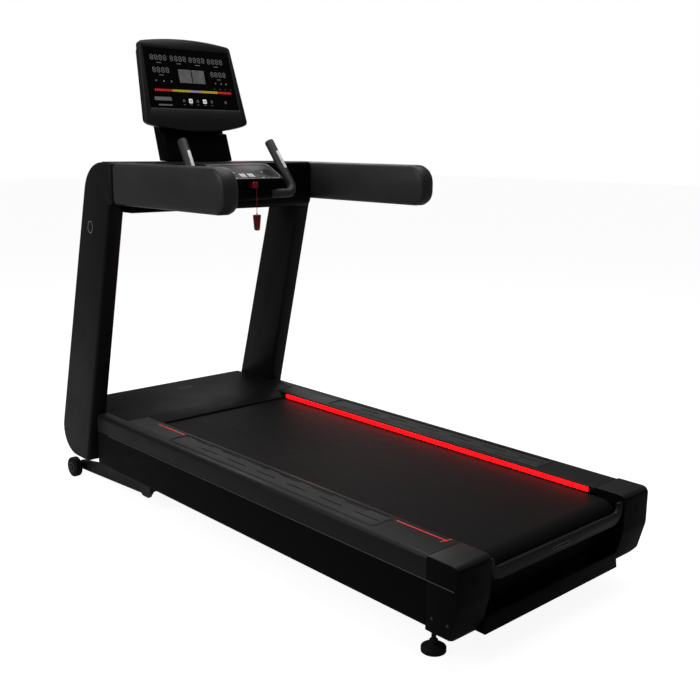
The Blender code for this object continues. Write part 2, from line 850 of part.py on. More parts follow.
def rear_guard():
    """A flat bar behind the rear roller whose ends sweep up to the rails."""
    reach, post = RAIL_INNER - 2 * FIT, RAIL_INNER - 2 * FIT - BAR_POST
    top = BELT_TOP + EDGE_LIFT
    low, high = ROLLER_HEIGHT - BAR_DROP, ROLLER_HEIGHT - BAR_DROP + BAR_DEPTH
    corners = [
        (-reach, top, 0),
        (-reach, low, 0.050),
        (reach, low, 0.050),
        (reach, top, 0),
        (post, top, 0),
        (post, high, 0.020),
        (-post, high, 0.020),
        (-post, top, 0),
    ]
    rear = at(0.004)
    outline = [rounded(corners, 6)]
    plate("rear_bar", outline, "Y", rear, rear + BAR_THICK, "grey", rounding=0.003)
    shelf = [
        (at(0.012), CAP_BOTTOM),
        (at(0.125), CAP_BOTTOM),
        (at(0.125), CAP_BOTTOM + WALL),
        (at(0.030), CAP_BOTTOM + WALL),
        (at(0.024), CAP_BOTTOM + 0.045),
        (at(0.018), CAP_BOTTOM + 0.045),
    ]
    reach = RAIL_INNER - FIT
    plate("rear_shelf", [[Vector(p) for p in shelf]], "X", -reach, reach, "cover")


# ---- uprights, arms and console ----
def upright_edge(height, front):
    """Distance from the rear of the upright's front or rear edge at a height."""
    start, lean = UPRIGHT_REAR_AT, UPRIGHT_REAR_LEAN
    if front:
        start, lean = UPRIGHT_FRONT_AT, UPRIGHT_FRONT_LEAN
    return start - lean * (height - UPRIGHT_BOTTOM)


def side_frames():
    arm_low = ARM_TOP - ARM_HEIGHT
    outline = rounded(
        [
            (at(UPRIGHT_REAR_AT), UPRIGHT_BOTTOM, 0.012),
            (at(UPRIGHT_FRONT_AT), UPRIGHT_BOTTOM, TOE_RADIUS),
            (at(upright_edge(ARM_TOP, True)), ARM_TOP, ELBOW_RADIUS),
            (at(ARM_SEAM_AT + FIT), ARM_TOP, 0),
            (at(ARM_SEAM_AT + FIT), arm_low, 0),
            (at(upright_edge(arm_low, False)), arm_low, 0.008),
        ],
        9,
    )
    arm = rounded(
        [
            (at(ARM_SEAM_AT), ARM_TOP, 0),
            (at(ARM_REAR_AT), ARM_TOP, 0.064),
            (at(ARM_REAR_AT), arm_low, 0.052),
            (at(ARM_SEAM_AT), arm_low, 0),
        ],
        8,
    )
    for name, side in SIDES:
        low, high = sorted((side * SIDE_INNER, side * SIDE_OUTER))
        middle = (low + high) / 2
        upright = plate("upright_" + name, [outline], "X", low, high, "coat", rounding=0.008)
        foot_y = at((UPRIGHT_REAR_AT + UPRIGHT_FRONT_AT - TOE_RADIUS) / 2)
        hollow(
            upright,
            outline,
            "X",
            low,
            high,
            UPRIGHT_WALL,
            (middle - 0.015, foot_y - 0.020, UPRIGHT_BOTTOM - 0.01),
            (middle + 0.015, foot_y + 0.020, UPRIGHT_BOTTOM + 0.02),
        )
        rail = plate("handrail_" + name, [arm], "X", low, high, "grip", rounding=0.018)
        seam = at(ARM_SEAM_AT)
        hollow(
            rail,
            arm,
            "X",
            low,
            high,
            ARM_WALL,
            (middle - 0.012, seam - 0.03, ARM_TOP - ARM_HEIGHT / 2 - 0.015),
            (middle + 0.012, seam + 0.01, ARM_TOP - ARM_HEIGHT / 2 + 0.015),
        )


def console():
    reach = SIDE_INNER - FIT
    rear, front = at(CONSOLE_REAR_AT), at(CONSOLE_FRONT_AT)
    outline = rounded(
        [
            (rear, CONSOLE_BOTTOM, 0.030),
            (front - 0.040, CONSOLE_BOTTOM, 0.030),
            (front, ARM_TOP, 0.020),
            (rear, ARM_TOP, 0.014),
        ],
        4,
    )
    beam = plate("console_beam", [outline], "X", -reach, reach, "cover")
    for name, side in SIDES:
        low, high = sorted((side * TRAY_X[0], side * TRAY_X[1]))
        tray = box(
            "tray_recess_" + name,
            (low, at(TRAY_AT[0]), ARM_TOP - TRAY_DEPTH),
            (high, at(TRAY_AT[1]), ARM_TOP + TRAY_DEPTH),
            group=CUTTERS,
        )
        combine(beam, tray)
    core_top = ARM_TOP - TRAY_DEPTH - WALL
    core = box(
        "console_core",
        (WALL - reach, rear + 0.012, CONSOLE_BOTTOM + 0.012),
        (reach - WALL, front - 0.045, core_top),
        group=CUTTERS,
    )
    vent = box(
        "console_vent",
        (-reach - 0.01, rear + 0.08, CONSOLE_BOTTOM + 0.05),
        (reach + 0.01, rear + 0.11, CONSOLE_BOTTOM + 0.08),
        group=CUTTERS,
    )
    combine(combine(beam, core), vent)
    control_pod()
    grips()


def control_pod():
    """A pod behind the console beam with a sloping key panel."""
    outline = [
        (at(CONSOLE_REAR_AT - FIT), POD_HIGH + 0.001),
        (at(POD_TOP_AT), POD_HIGH),
        (at(POD_REAR_AT), POD_LOW),
        (at(POD_REAR_AT), POD_LOW - POD_LIP),
        (at(KEY_WALL_AT), POD_LOW - POD_LIP),
        (at(KEY_WALL_AT), POD_LOW - POD_DEPTH),
        (at(CONSOLE_REAR_AT - FIT), POD_LOW - POD_DEPTH),
    ]
    pod = plate("control_pod", [outline], "X", -POD_HALF, POD_HALF, "grey")
    slope = math.atan2(POD_HIGH - POD_LOW, POD_TOP_AT - POD_REAR_AT)
    half = BUTTON_HALF
    for name, x in BUTTON_X.items():
        height = POD_LOW + BUTTON_AT * math.tan(slope)
        middle = Vector((x, at(POD_REAR_AT + BUTTON_AT), height))
        frame = Matrix.Translation(middle) @ Matrix.Rotation(slope, 4, "X")
        pocket = box(name + "_pocket", (-half, -half, -0.005), (half, half, 0.02), group=CUTTERS)
        pocket.matrix_world = frame @ pocket.matrix_world
        combine(pod, pocket)
        key = half - RUN
        cap = box(name, (-key, -key, BUTTON_TRAVEL - 0.005), (key, key, BUTTON_TRAVEL), "white")
        cap.matrix_world = frame @ cap.matrix_world


def along(side, place_of):
    x, distance, height = place_of
    return Vector((side * x, at(distance), height))


def grips():
    """Pulse grips that rise from a low bar carried by the console beam."""
    for name, side in SIDES:
        top, low = along(side, GRIP_TOP), along(side, (GRIP_CORNER_X, BAR_AT, BAR_HEIGHT))
        inner = Vector((side * (MOUNT_HALF + FIT), at(BAR_AT), BAR_HEIGHT))
        path = bent([top, low, inner], GRIP_BEND)
        tube("pulse_grip_" + name, path, GRIP_RADIUS, "grip", detail=4)
        lean = (top - low).normalized()
        outward = Vector((0, -1, 0)) - lean * Vector((0, -1, 0)).dot(lean)
        outward.normalize()
        across = lean.cross(outward)
        half = Vector(SENSOR_SIZE) / 2
        middle = top.lerp(low, SENSOR_ALONG) + outward * (GRIP_RADIUS + FIT + half.y)
        frame = Matrix((across, outward, lean)).transposed().to_4x4()
        frame.translation = middle
        sensor = box("pulse_sensor_" + name, -half, half, "steel")
        sensor.matrix_world = frame @ sensor.matrix_world
    body = [
        (at(CONSOLE_REAR_AT - FIT), BAR_HEIGHT + 0.012, 0),
        (at(BAR_AT - 0.018), BAR_HEIGHT + 0.020, 0.014),
        (at(BAR_AT - 0.018), BAR_HEIGHT - 0.020, 0.014),
        (at(CONSOLE_REAR_AT - FIT), BAR_HEIGHT - 0.030, 0),
    ]
    plate("grip_mount", [rounded(body)], "X", -MOUNT_HALF, MOUNT_HALF, "cover")


def display():
    lower = Vector((0, at(DISPLAY_FOOT[0]), DISPLAY_FOOT[1]))
    up = Vector((0, math.sin(DISPLAY_TILT), math.cos(DISPLAY_TILT)))
    towards = Vector((0, -math.cos(DISPLAY_TILT), math.sin(DISPLAY_TILT)))
    frame = Matrix((Vector((1, 0, 0)), up, towards)).transposed().to_4x4()
    frame.translation = lower

    def layer(name, rings, back, front, finish, rounding=0.0):
        depth = frame @ Matrix.Translation((0, 0, (back + front) / 2))
        return plate(name, rings, "Z", back, front, finish, rounding=rounding, frame=depth)

    face = display_outline(0)
    wide, narrow, bottom, top = WINDOW
    corners = [(-wide, bottom), (wide, bottom), (narrow, top), (-narrow, top)]
    window = rounded([(*corner, 0.004) for corner in corners], 2)
    inner = [point * 0.997 + Vector((0, 0.0005)) for point in window]
    layer("display_bezel", [face, window], -BEZEL_THICK, 0, "cover")
    front = -SCREEN_RECESS
    layer("display_screen", [inner], front - SCREEN_THICK, front, "glass")
    back = display_outline(0.012)
    rear = -BEZEL_THICK - FIT
    layer("display_back", [back], rear - HOUSING_THICK, rear, "cover", rounding=0.010)
    mast(rear - HOUSING_THICK)


def display_outline(inset):
    """Tapered face with bowed top and bottom edges, as (X, along the face)."""
    low, high = DISPLAY_HALF_LOW - inset, DISPLAY_HALF_HIGH - inset
    bottom, top = inset, DISPLAY_FACE - inset
    outline = []
    for (a, b, start, bow) in ((-low, low, bottom, -0.030), (high, -high, top, 0.018)):
        for step in range(13):
            part = step / 12
            x = a + (b - a) * part
            outline.append((x, start + bow * (1 - (2 * part - 1) ** 2), 0.0))
    for index in (0, 12, 13, 25):
        x, y, _ = outline[index]
        outline[index] = (x, y, 0.016)
    return rounded(outline, 5)


def mast(depth):
    """The neck between the console beam and the back of the display."""
    back_at = DISPLAY_FOOT[0] + (2 * FIT - depth) / math.cos(DISPLAY_TILT)
    slope = math.tan(DISPLAY_TILT)
    foot = ARM_TOP + FIT

    def behind(height):
        return at(back_at + (height - DISPLAY_FOOT[1]) * slope)

    outline = rounded(
        [
            (at(CONSOLE_FRONT_AT - 0.072), foot, 0),
            (at(CONSOLE_FRONT_AT - 0.004), foot, 0),
            (behind(MAST_TOP - 0.01) + 0.040, MAST_TOP - 0.02, 0.03),
            (behind(MAST_TOP) + 0.030, MAST_TOP, 0.01),
            (behind(MAST_TOP), MAST_TOP, 0),
            (behind(MAST_SHELF), MAST_SHELF, 0),
            (at(CONSOLE_FRONT_AT - 0.036), MAST_SHELF - 0.002, 0.006),
        ]
    )
    plate("display_mast", [outline], "X", -MAST_HALF, MAST_HALF, "coat", rounding=0.005)


# ---- safety key ----
def safety_key():
    """The key under the pod's lip, its cord and the clip that the runner wears."""
    box(
        "safety_key",
        (-KEY_HALF, at(KEY_REAR_AT), CORD_TOP + FIT),
        (KEY_HALF, at(KEY_WALL_AT - FIT), POD_LOW - POD_LIP - 5 * FIT),
        "red",
        0.003,
    )
    tube("lanyard_cord", smooth_route(CORD_ROUTE, 7), CORD_RADIUS, "red", detail=2)
    _, distance, height = CORD_ROUTE[-1]
    outline = rounded(
        [
            (CORD_X - CLIP_HALF_TOP, height - FIT, 0.003),
            (CORD_X + CLIP_HALF_TOP, height - FIT, 0.003),
            (CORD_X + CLIP_HALF_LOW, height - CLIP_LENGTH, 0.008),
            (CORD_X - CLIP_HALF_LOW, height - CLIP_LENGTH, 0.008),
        ],
        4,
    )
    y = at(distance)
    half = CLIP_THICK / 2
    plate("lanyard_clip", [outline], "Y", y - half, y + half, "red", rounding=0.0015)


def smooth_route(route, between):
    """Points of one smooth curve through the route's points."""
    spots = [Vector((x, at(distance), z)) for x, distance, z in route]
    spots = [2 * spots[0] - spots[1]] + spots + [2 * spots[-1] - spots[-2]]
    path = []
    for a, b, c, d in zip(spots, spots[1:], spots[2:], spots[3:]):
        for step in range(between):
            t = step / between
            straight = 2 * b + (c - a) * t
            bend = (2 * a - 5 * b + 4 * c - d) * t**2 + (3 * b - a - 3 * c + d) * t**3
            path.append((straight + bend) / 2)
    path.append(spots[-2])
    return path


# ---- incline lift ----
def lift():
    y, z = at(PIVOT_AT), PIVOT_HEIGHT
    wheel_y, wheel_z = at(LIFT_WHEEL_AT), LIFT_WHEEL_RADIUS
    half = ARM_DEPTH / 2
    outline = rounded(
        [
            (y - half, z - half, half * 0.98),
            (wheel_y + 0.018, wheel_z - 0.018, 0.017),
            (wheel_y + 0.018, wheel_z + 0.018, 0.017),
            (y + 0.25, z + half, 0.10),
            (y - half, z + half, half * 0.98),
        ]
    )
    across = 2 * (LIFT_INNER + FIT + FIT)
    welded = cylinder("lift_frame", LIFT_TUBE_RADIUS, across, (0, y, z), finish="coat")
    brace_at = (0, wheel_y - BRACE_BACK, z - 0.016)
    brace = cylinder("lift_brace_shape", LIFT_TUBE_RADIUS, across, brace_at, group=CUTTERS)
    combine(welded, brace, "UNION")
    for name, side in SIDES:
        low, high = sorted((side * LIFT_INNER, side * LIFT_OUTER))
        hole = circle((y, z), PIVOT_RADIUS + RUN)
        arm = plate("lift_arm_shape_" + name, [outline, hole], "X", low, high, group=CUTTERS)
        wheel_x = side * (LIFT_OUTER + COLLAR_LENGTH + LIFT_WHEEL_WIDTH / 2)
        turned(
            "lift_wheel_" + name,
            ring_profile(PIVOT_RADIUS + RUN, LIFT_WHEEL_RADIUS, LIFT_WHEEL_WIDTH / 2, 0.004),
            (wheel_x, wheel_y, wheel_z),
            finish="rubber",
            sides=32,
        )
        ends = sorted((side * (LIFT_INNER + 0.002), wheel_x + side * (LIFT_WHEEL_WIDTH / 2 - 0.002)))
        stub = cylinder(
            "wheel_axle_shape_" + name,
            PIVOT_RADIUS,
            ends[1] - ends[0],
            ((ends[0] + ends[1]) / 2, wheel_y, wheel_z),
            sides=24,
            group=CUTTERS,
        )
        collar = cylinder(
            "wheel_collar_shape_" + name,
            PIVOT_RADIUS + 0.005,
            COLLAR_LENGTH,
            (side * (LIFT_OUTER + COLLAR_LENGTH / 2 - 2 * FIT), wheel_y, wheel_z),
            sides=24,
            group=CUTTERS,
        )
        for shape in (arm, stub, collar):
            combine(welded, shape, "UNION")
    combine(welded, crank(y, z), "UNION")


def pivot_bracket(name, side):
    """Shapes of the ear under the beam, outside the lift arm, with its pin."""
    y, z = at(PIVOT_AT), PIVOT_HEIGHT
    low, high = sorted((side * (LIFT_OUTER + 0.002), side * (LIFT_OUTER + 0.002 + BRACKET_THICK)))
    top = BEAM_BOTTOM + TUBE_WALL / 2
    outline = rounded(
        [
            (y - 0.035, z - 0.028, 0.02),
            (y + 0.035, z - 0.028, 0.02),
            (y + 0.035, top, 0),
            (y - 0.035, top, 0),
        ]
    )
    ear = plate("pivot_ear_" + name, [outline], "X", low, high, group=CUTTERS)
    flange_x = sorted((side * (BEAM_X - 0.010), side * (LIFT_OUTER + 0.004)))
    flange = box(
        "pivot_flange_" + name,
        (flange_x[0], y - 0.033, z + ARM_DEPTH / 2 + 0.010),
        (flange_x[1], y + 0.033, top),
        group=CUTTERS,
    )
    ends = sorted((side * (LIFT_INNER + 0.0025), side * (LIFT_OUTER + 0.006)))
    pin = cylinder(
        "pivot_pin_" + name,
        PIVOT_RADIUS,
        ends[1] - ends[0],
        ((ends[0] + ends[1]) / 2, y, z),
        sides=24,
        group=CUTTERS,
    )
    return ear, flange, pin


def crank(y, z):
    """The slotted plate on the pivot tube that the screw pushes."""
    turn = Matrix.Rotation(CRANK_BACK, 2)
    length = CRANK_LENGTH
    pin = SCREW_PIN + RUN
    drop = length * (1 - math.cos(CRANK_BACK))
    outline = rounded(
        [
            (-0.014, 0, 0),
            (0.014, 0, 0),
            (0.014, length + 0.012, 0.010),
            (-0.014, length + 0.012, 0.010),
        ]
    )
    slot = rounded(
        [
            (-pin, length - drop - pin, pin * 0.9),
            (pin, length - drop - pin, pin * 0.9),
            (pin, length + pin, pin * 0.9),
            (-pin, length + pin, pin * 0.9),
        ],
        4,
    )
    rings = [
        [turn @ Vector(point) + Vector((y, z)) for point in ring] for ring in (outline, slot)
    ]
    return plate("crank_shape", rings, "X", -CRANK_THICK / 2, CRANK_THICK / 2, group=CUTTERS)


def actuator():
    """The incline motor on the front cross member and its push screw."""
    pin_y = at(PIVOT_AT) - CRANK_LENGTH * math.sin(CRANK_BACK)
    pin_z = PIVOT_HEIGHT + CRANK_LENGTH * math.cos(CRANK_BACK)
    rear = at(ACTUATOR_FRONT_AT)
    ends = (rear - SCREW_INSIDE, pin_y - 0.025)
    middle = (0, sum(ends) / 2, pin_z)
    screw = cylinder("lift_screw", SCREW_RADIUS, ends[1] - ends[0], middle, axis="Y", sides=24)
    fork = box(
        "fork_shape",
        (-FORK_HALF, pin_y - 0.030, pin_z - SCREW_RADIUS),
        (FORK_HALF, pin_y + 0.010, pin_z + SCREW_RADIUS),
        group=CUTTERS,
    )
    gap = box(
        "fork_gap",
        (-FORK_GAP_HALF, pin_y - 0.019, pin_z - 2 * SCREW_RADIUS),
        (FORK_GAP_HALF, pin_y + 0.020, pin_z + 2 * SCREW_RADIUS),
        group=CUTTERS,
    )
    middle = (0, pin_y, pin_z)
    pin = cylinder("fork_pin", SCREW_PIN, 2 * FORK_HALF + 0.002, middle, sides=20, group=CUTTERS)
    combine(combine(combine(screw, fork, "UNION"), gap), pin, "UNION")
    body = box(
        "incline_motor",
        (-0.035, rear - ACTUATOR_LENGTH, pin_z - 0.024),
        (0.035, rear, pin_z + 0.024),
        "motor",
    )
    depth = 2 * (SCREW_INSIDE + SCREW_RADIUS)
    bore = cylinder(
        "screw_bore", SCREW_RADIUS + RUN, depth, (0, rear, pin_z), axis="Y", sides=24, group=CUTTERS
    )
    beside = (0.064, rear - 0.14, pin_z - 0.012)
    can = cylinder("motor_can_shape", 0.030, 0.15, beside, axis="Y", group=CUTTERS)
    combine(combine(body, can, "UNION"), bore)


# ---- levelling feet ----
def foot_bracket(name, side):
    """Plate under the beam that takes the foot's stem."""
    x, y = side * FOOT_X, at(FOOT_AT)
    bore = circle((x, y), STEM_RADIUS + RUN)
    outline = rounded(
        [
            (x - 0.024, y - 0.030, 0.006),
            (x + 0.024, y - 0.030, 0.006),
            (x + 0.024, y + 0.030, 0.006),
            (x - 0.024, y + 0.030, 0.006),
        ],
        3,
    )
    low = BEAM_BOTTOM - 0.010
    high = BEAM_BOTTOM + TUBE_WALL / 2
    return plate("foot_bracket_" + name, [outline, bore], "Z", low, high, group=CUTTERS)


def feet():
    for name, side in SIDES:
        turned_foot("levelling_foot_" + name, side * FOOT_X, at(FOOT_AT))


def turned_foot(name, x, y):
    """Rubber disc, flange and threaded stem as one turned piece on Z."""
    profile = [(STEM_RADIUS, STEM_TOP), (STEM_RADIUS, 0.034), (0.012, 0.034), (0.012, 0.026)]
    profile += [(STEM_RADIUS, 0.026), (0.010, 0.020), (FOOT_RADIUS - 0.006, 0.017)]
    profile += [(FOOT_RADIUS, 0.013), (FOOT_RADIUS, 0.0)]
    solid_turn(name, profile, (x, y, 0), "Z", "rubber", 32)


steel_frame()
deck()
belt_and_rollers()
drive()
covers()
side_frames()
console()
display()
safety_key()
lift()
actuator()
feet()
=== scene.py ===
"""Looks of a commercial treadmill: moulded shells, console, display, lights and studio."""

import math

import bpy
from mathutils import Matrix, Vector
from mathutils.bvhtree import BVHTree
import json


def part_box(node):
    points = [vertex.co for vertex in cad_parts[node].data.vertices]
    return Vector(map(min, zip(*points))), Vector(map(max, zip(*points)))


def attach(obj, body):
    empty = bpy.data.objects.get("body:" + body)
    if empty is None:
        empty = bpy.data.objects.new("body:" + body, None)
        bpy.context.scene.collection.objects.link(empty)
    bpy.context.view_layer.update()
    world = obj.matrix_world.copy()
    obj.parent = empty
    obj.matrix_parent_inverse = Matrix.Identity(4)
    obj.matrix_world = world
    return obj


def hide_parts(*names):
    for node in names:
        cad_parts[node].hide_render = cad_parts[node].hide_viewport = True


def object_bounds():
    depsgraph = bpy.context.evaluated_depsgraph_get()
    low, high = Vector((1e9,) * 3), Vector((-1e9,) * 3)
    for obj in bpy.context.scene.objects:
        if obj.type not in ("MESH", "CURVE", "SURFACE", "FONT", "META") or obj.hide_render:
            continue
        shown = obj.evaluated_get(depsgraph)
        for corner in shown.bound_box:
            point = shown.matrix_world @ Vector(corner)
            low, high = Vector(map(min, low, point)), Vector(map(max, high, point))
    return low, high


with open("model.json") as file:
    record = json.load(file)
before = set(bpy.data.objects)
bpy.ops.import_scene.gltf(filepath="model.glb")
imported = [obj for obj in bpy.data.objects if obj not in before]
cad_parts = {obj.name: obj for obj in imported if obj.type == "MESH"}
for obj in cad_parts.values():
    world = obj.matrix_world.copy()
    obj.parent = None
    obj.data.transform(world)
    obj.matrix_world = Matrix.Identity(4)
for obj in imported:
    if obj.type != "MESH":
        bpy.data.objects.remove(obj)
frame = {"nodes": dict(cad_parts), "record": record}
cad_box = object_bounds()

# ---- sizes, in metres ----
CAMERA_PLACE = (-2.138, -2.479, 1.336)
CAMERA_YAW, CAMERA_PITCH, CAMERA_ROLL = 0.7474, 0.2117, 0.0106
CAMERA_LENS = 49.49
CAMERA_SENSOR = 36.0

CORD_RADIUS = 0.0012
CORD_ROUTE = [
    (0.0140, 0.3520, 1.1725),
    (0.0142, 0.3519, 1.1580),
    (0.0147, 0.3515, 1.1400),
    (0.0150, 0.3510, 1.1200),
    (0.0146, 0.3506, 1.1000),
    (0.0140, 0.3505, 1.0775),
]

SIDES = (("left", -1), ("right", 1))
DISPLAY_TILT = math.radians(16)
SCREEN_THICK = 0.010
SCREEN_TAPER = 0.054  # the glass is this share narrower at its top
GRAPHIC_RISE = 0.0002
DIGIT_BLOCKS = [
    (0.159, 0.160, 4),
    (0.385, 0.160, 4),
    (0.602, 0.165, 4),
    (0.820, 0.170, 4),
    (0.168, 0.365, 4),
    (0.830, 0.390, 4),
]
DIGIT_PITCH = 0.0190
DIGIT_WIDTH = 0.0105
DIGIT_HEIGHT = 0.0180
LEGEND_DROP = 0.085
MATRIX_MIDDLE = (0.512, 0.450)
MATRIX_DOTS = (29, 13)
MATRIX_PITCH = 0.0040
LOAD_BAR_SPAN = (0.070, 0.945)
LOAD_BAR_DOWN = 0.700
LOAD_BAR_LAMPS = 46
ICON_DOWN = 0.865
LIT_ICONS = (0.450, 0.610)
DIM_ICONS = (0.375, 0.530, 0.690, 0.855)
ARROWS_LEFT = ((0.100, 0.545), (0.185, 0.550), (0.270, 0.550))
ARROWS_RIGHT = ((0.780, 0.540), (0.845, 0.545), (0.905, 0.545))
LOWER_PANELS = ((0.148, 0.842), (0.165, 0.945))
GREEN_LAMPS = (0.755, 0.820, 0.885, 0.950)
GREEN_DOWN = 0.640

PAD_X = (0.328, 0.412)
PAD_AT = (0.335, 1.365)
PAD_RISE = 0.0016
RIB_ROWS = (0.342, 0.376)
RIB_COUNT = 6
RIB_PITCH = 0.1535
RIB_FIRST_AT = 1.240
RIB_LENGTH = 0.098
LINE_X = 0.335
LINE_WIDTH = 0.0030
TICK_LENGTH = 0.036
LINE_SPANS = ((0.132, 0.319), (1.376, 1.549))
TRIM_SPAN = (0.010, 1.735)
BELT_JOINT_AT = 0.95
POD_FACE_REAR = (1.400, 1.206)  # distance from the rear and height of the pod face's ends
POD_FACE_FRONT = (1.500, 1.256)
DISH_AT = (0.098, 0.045)
DISH_RADIUS = 0.022
POD_DASHES = ((-0.060, 0.047), (-0.072, 0.008), (0.072, 0.050), (0.052, 0.009))
POD_LINE = (-0.022, 0.052)
POD_CORNER = 0.030
KEY_FRAME = (0.024, 0.027)
KEY_ALONG = 0.0268
KEY_STANDS = 0.0015
KEY_X = 0.008
KEY_WIDTH = 0.026
GRIP_LEAN = (-0.020, 0.132, 0.189)  # along a grip, from its bend to its top
SENSOR_WIDTH = 0.012
SENSOR_LENGTH = 0.078
TRAY_SPAN = (0.160, 0.365)
TRAY_FIRST, TRAY_LAST = 1.590, 1.700
TRAY_DROP = 0.045
TRAY_RIBS = 18
BACK_VENT_ROWS = (1.600, 1.640)
BACK_VENT_COUNT = 11
BACK_VENT_PITCH = 0.018
BACK_SCREW_X = 0.165
BACK_SCREW_HEIGHTS = (1.450, 1.650)
MAST_SCREW_X = 0.115
MAST_SCREW_HEIGHTS = (1.300, 1.430)
BADGE_AT = (1.763, 1.031)
NUT_HEIGHT = 0.056
NUT_RADIUS = 0.0125
NUT_THICK = 0.0075
HUB_RING = (0.0200, 0.0165)  # outer and inner radius
HUB_SCREW = (0.0085, 0.0042)  # radius and rise
HOOD_SCREWS = ((0.300, 2.030), (0.180, 2.040))
VENT_COUNT = 9
VENT_FIRST_X = 0.11
VENT_PITCH = 0.022
VENT_HEIGHT = 0.215
HOOD_BADGE_AT = (0.044, 1.950)
HOOD_SEAM_X = 0.385
HOOD_SEAM_SPAN = (1.72, 2.04)
ADJUSTER_X = 0.378
ADJUSTER_HEIGHT = 0.262
SIDE_SCREW_AT = (0.028, 0.082)
SIDE_SCREW_HEIGHT = 0.150
SKIRT_GAP = 0.0015  # between the belt or deck and the plates under it
EAR_X = 0.3075
SHELF_END_X = 0.3100


def at(distance):
    """Y of a place this far from the rear end of the rails."""
    return cad_box[0][1] + distance


# ---- making pieces by hand ----
def low(node):
    return Vector(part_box(node)[0])


def high(node):
    return Vector(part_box(node)[1])


def middle_x(node):
    return (low(node).x + high(node).x) / 2


BODY_OF = {}
for body_name, members in frame["record"]["behaviour"]["bodies"].items():
    for member in members:
        BODY_OF[member] = body_name


def pick(piece):
    """Makes this piece the only one selected, and the one being worked on."""
    bpy.ops.object.select_all(action="DESELECT")
    piece.select_set(True)
    bpy.context.view_layer.objects.active = piece


def edit(piece):
    pick(piece)
    bpy.ops.object.mode_set(mode="EDIT")
    bpy.ops.mesh.select_all(action="DESELECT")


def done():
    bpy.ops.object.mode_set(mode="OBJECT")


def show(thing):
    """Puts a new object in the scene."""
    bpy.context.scene.collection.objects.link(thing)


def take_all():
    bpy.ops.mesh.select_all(action="SELECT")


def inset(wall, depth):
    bpy.ops.mesh.inset(thickness=wall, depth=depth)


def round_edges(radius, segments):
    bpy.ops.mesh.bevel(offset=radius, segments=segments, affect="EDGES", clamp_overlap=True)


def fill(node, values):
    """Sets a node's inputs by their labels."""
    for label, value in values.items():
        node.inputs[label].default_value = value


def apply(piece, kind, **settings):
    """Adds a modifier with these settings and applies it."""
    pick(piece)
    modifier = piece.modifiers.new(kind.lower(), kind)
    for key, value in settings.items():
        setattr(modifier, key, value)
    bpy.ops.object.modifier_apply(modifier=modifier.name)


def smooth(piece, angle=35):
    pick(piece)
    bpy.ops.object.shade_smooth_by_angle(angle=math.radians(angle))


def refined(node, finish, bevel=0.0, segments=2, angle=35, name=None):
    """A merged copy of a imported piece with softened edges, which stands for it."""
    piece = bpy.data.objects.new(name or node + "_skin", frame["nodes"][node].data.copy())
    show(piece)
    edit(piece)
    take_all()
    bpy.ops.mesh.remove_doubles(threshold=0.00001)
    bpy.ops.mesh.dissolve_limited(angle_limit=math.radians(0.6))
    done()
    if bevel:
        limit = math.radians(40)
        apply(piece, "BEVEL", width=bevel, segments=segments, limit_method="ANGLE", angle_limit=limit)
    smooth(piece, angle)
    dress(piece, finish)
    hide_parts(node)
    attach(piece, BODY_OF[node])
    return piece


def dress(piece, finish):
    piece.data.materials.clear()
    piece.data.materials.append(finish)


# ---- camera ----
def set_camera():
    forward = Vector(
        (
            math.sin(CAMERA_YAW) * math.cos(CAMERA_PITCH),
            math.cos(CAMERA_YAW) * math.cos(CAMERA_PITCH),
            -math.sin(CAMERA_PITCH),
        )
    )
    right = Vector((math.cos(CAMERA_YAW), -math.sin(CAMERA_YAW), 0))
    up = right.cross(forward)
    turned_right = math.cos(CAMERA_ROLL) * right + math.sin(CAMERA_ROLL) * up
    turned_up = math.cos(CAMERA_ROLL) * up - math.sin(CAMERA_ROLL) * right
    lens = bpy.data.cameras.new("studio_camera")
    lens.lens = CAMERA_LENS
    lens.sensor_width = CAMERA_SENSOR
    camera = bpy.data.objects.new("studio_camera", lens)
    show(camera)
    turn = Matrix((turned_right, turned_up, -forward)).transposed().to_4x4()
    camera.matrix_world = Matrix.Translation(CAMERA_PLACE) @ turn
    bpy.context.scene.camera = camera


# ---- studio ----
def area_light(name, place, target, size, power, colour=(1, 1, 1)):
    lamp = bpy.data.lights.new(name, "AREA")
    lamp.shape = "RECTANGLE"
    lamp.size, lamp.size_y = size
    lamp.energy = power
    lamp.color = colour
    light = bpy.data.objects.new(name, lamp)
    show(light)
    light.location = place
    light.rotation_euler = (Vector(target) - Vector(place)).to_track_quat("-Z", "Y").to_euler()


def set_studio():
    scene = bpy.context.scene
    scene.view_settings.view_transform = "Standard"
    world = bpy.data.worlds.new("studio_air")
    world.use_nodes = True
    air = world.node_tree.nodes["Background"]
    air.inputs["Color"].default_value = (1, 1, 1, 1)
    rays = world.node_tree.nodes.new("ShaderNodeLightPath")
    level = world.node_tree.nodes.new("ShaderNodeMapRange")
    fill(level, {"To Min": 0.10, "To Max": 1.0})
    link(world.node_tree, rays.outputs["Is Camera Ray"], level.inputs["Value"])
    link(world.node_tree, level.outputs[0], air.inputs["Strength"])
    scene.world = world
    area_light("overhead_softbox", (0.2, 0.2, 4.2), (0, 0, 0.4), (3.4, 4.2), 105)
    area_light("left_softbox", (-3.6, 1.2, 2.8), (-0.3, 0.1, 0.9), (1.6, 2.2), 46)
    area_light("far_rim_softbox", (2.4, 3.2, 2.8), (0, 0.4, 0.9), (2.0, 2.0), 22)
    bpy.ops.mesh.primitive_plane_add(size=60, location=(0, 0, -0.0005))
    floor = bpy.context.active_object
    floor.name = "studio_floor"
    dress(floor, floor_paint())


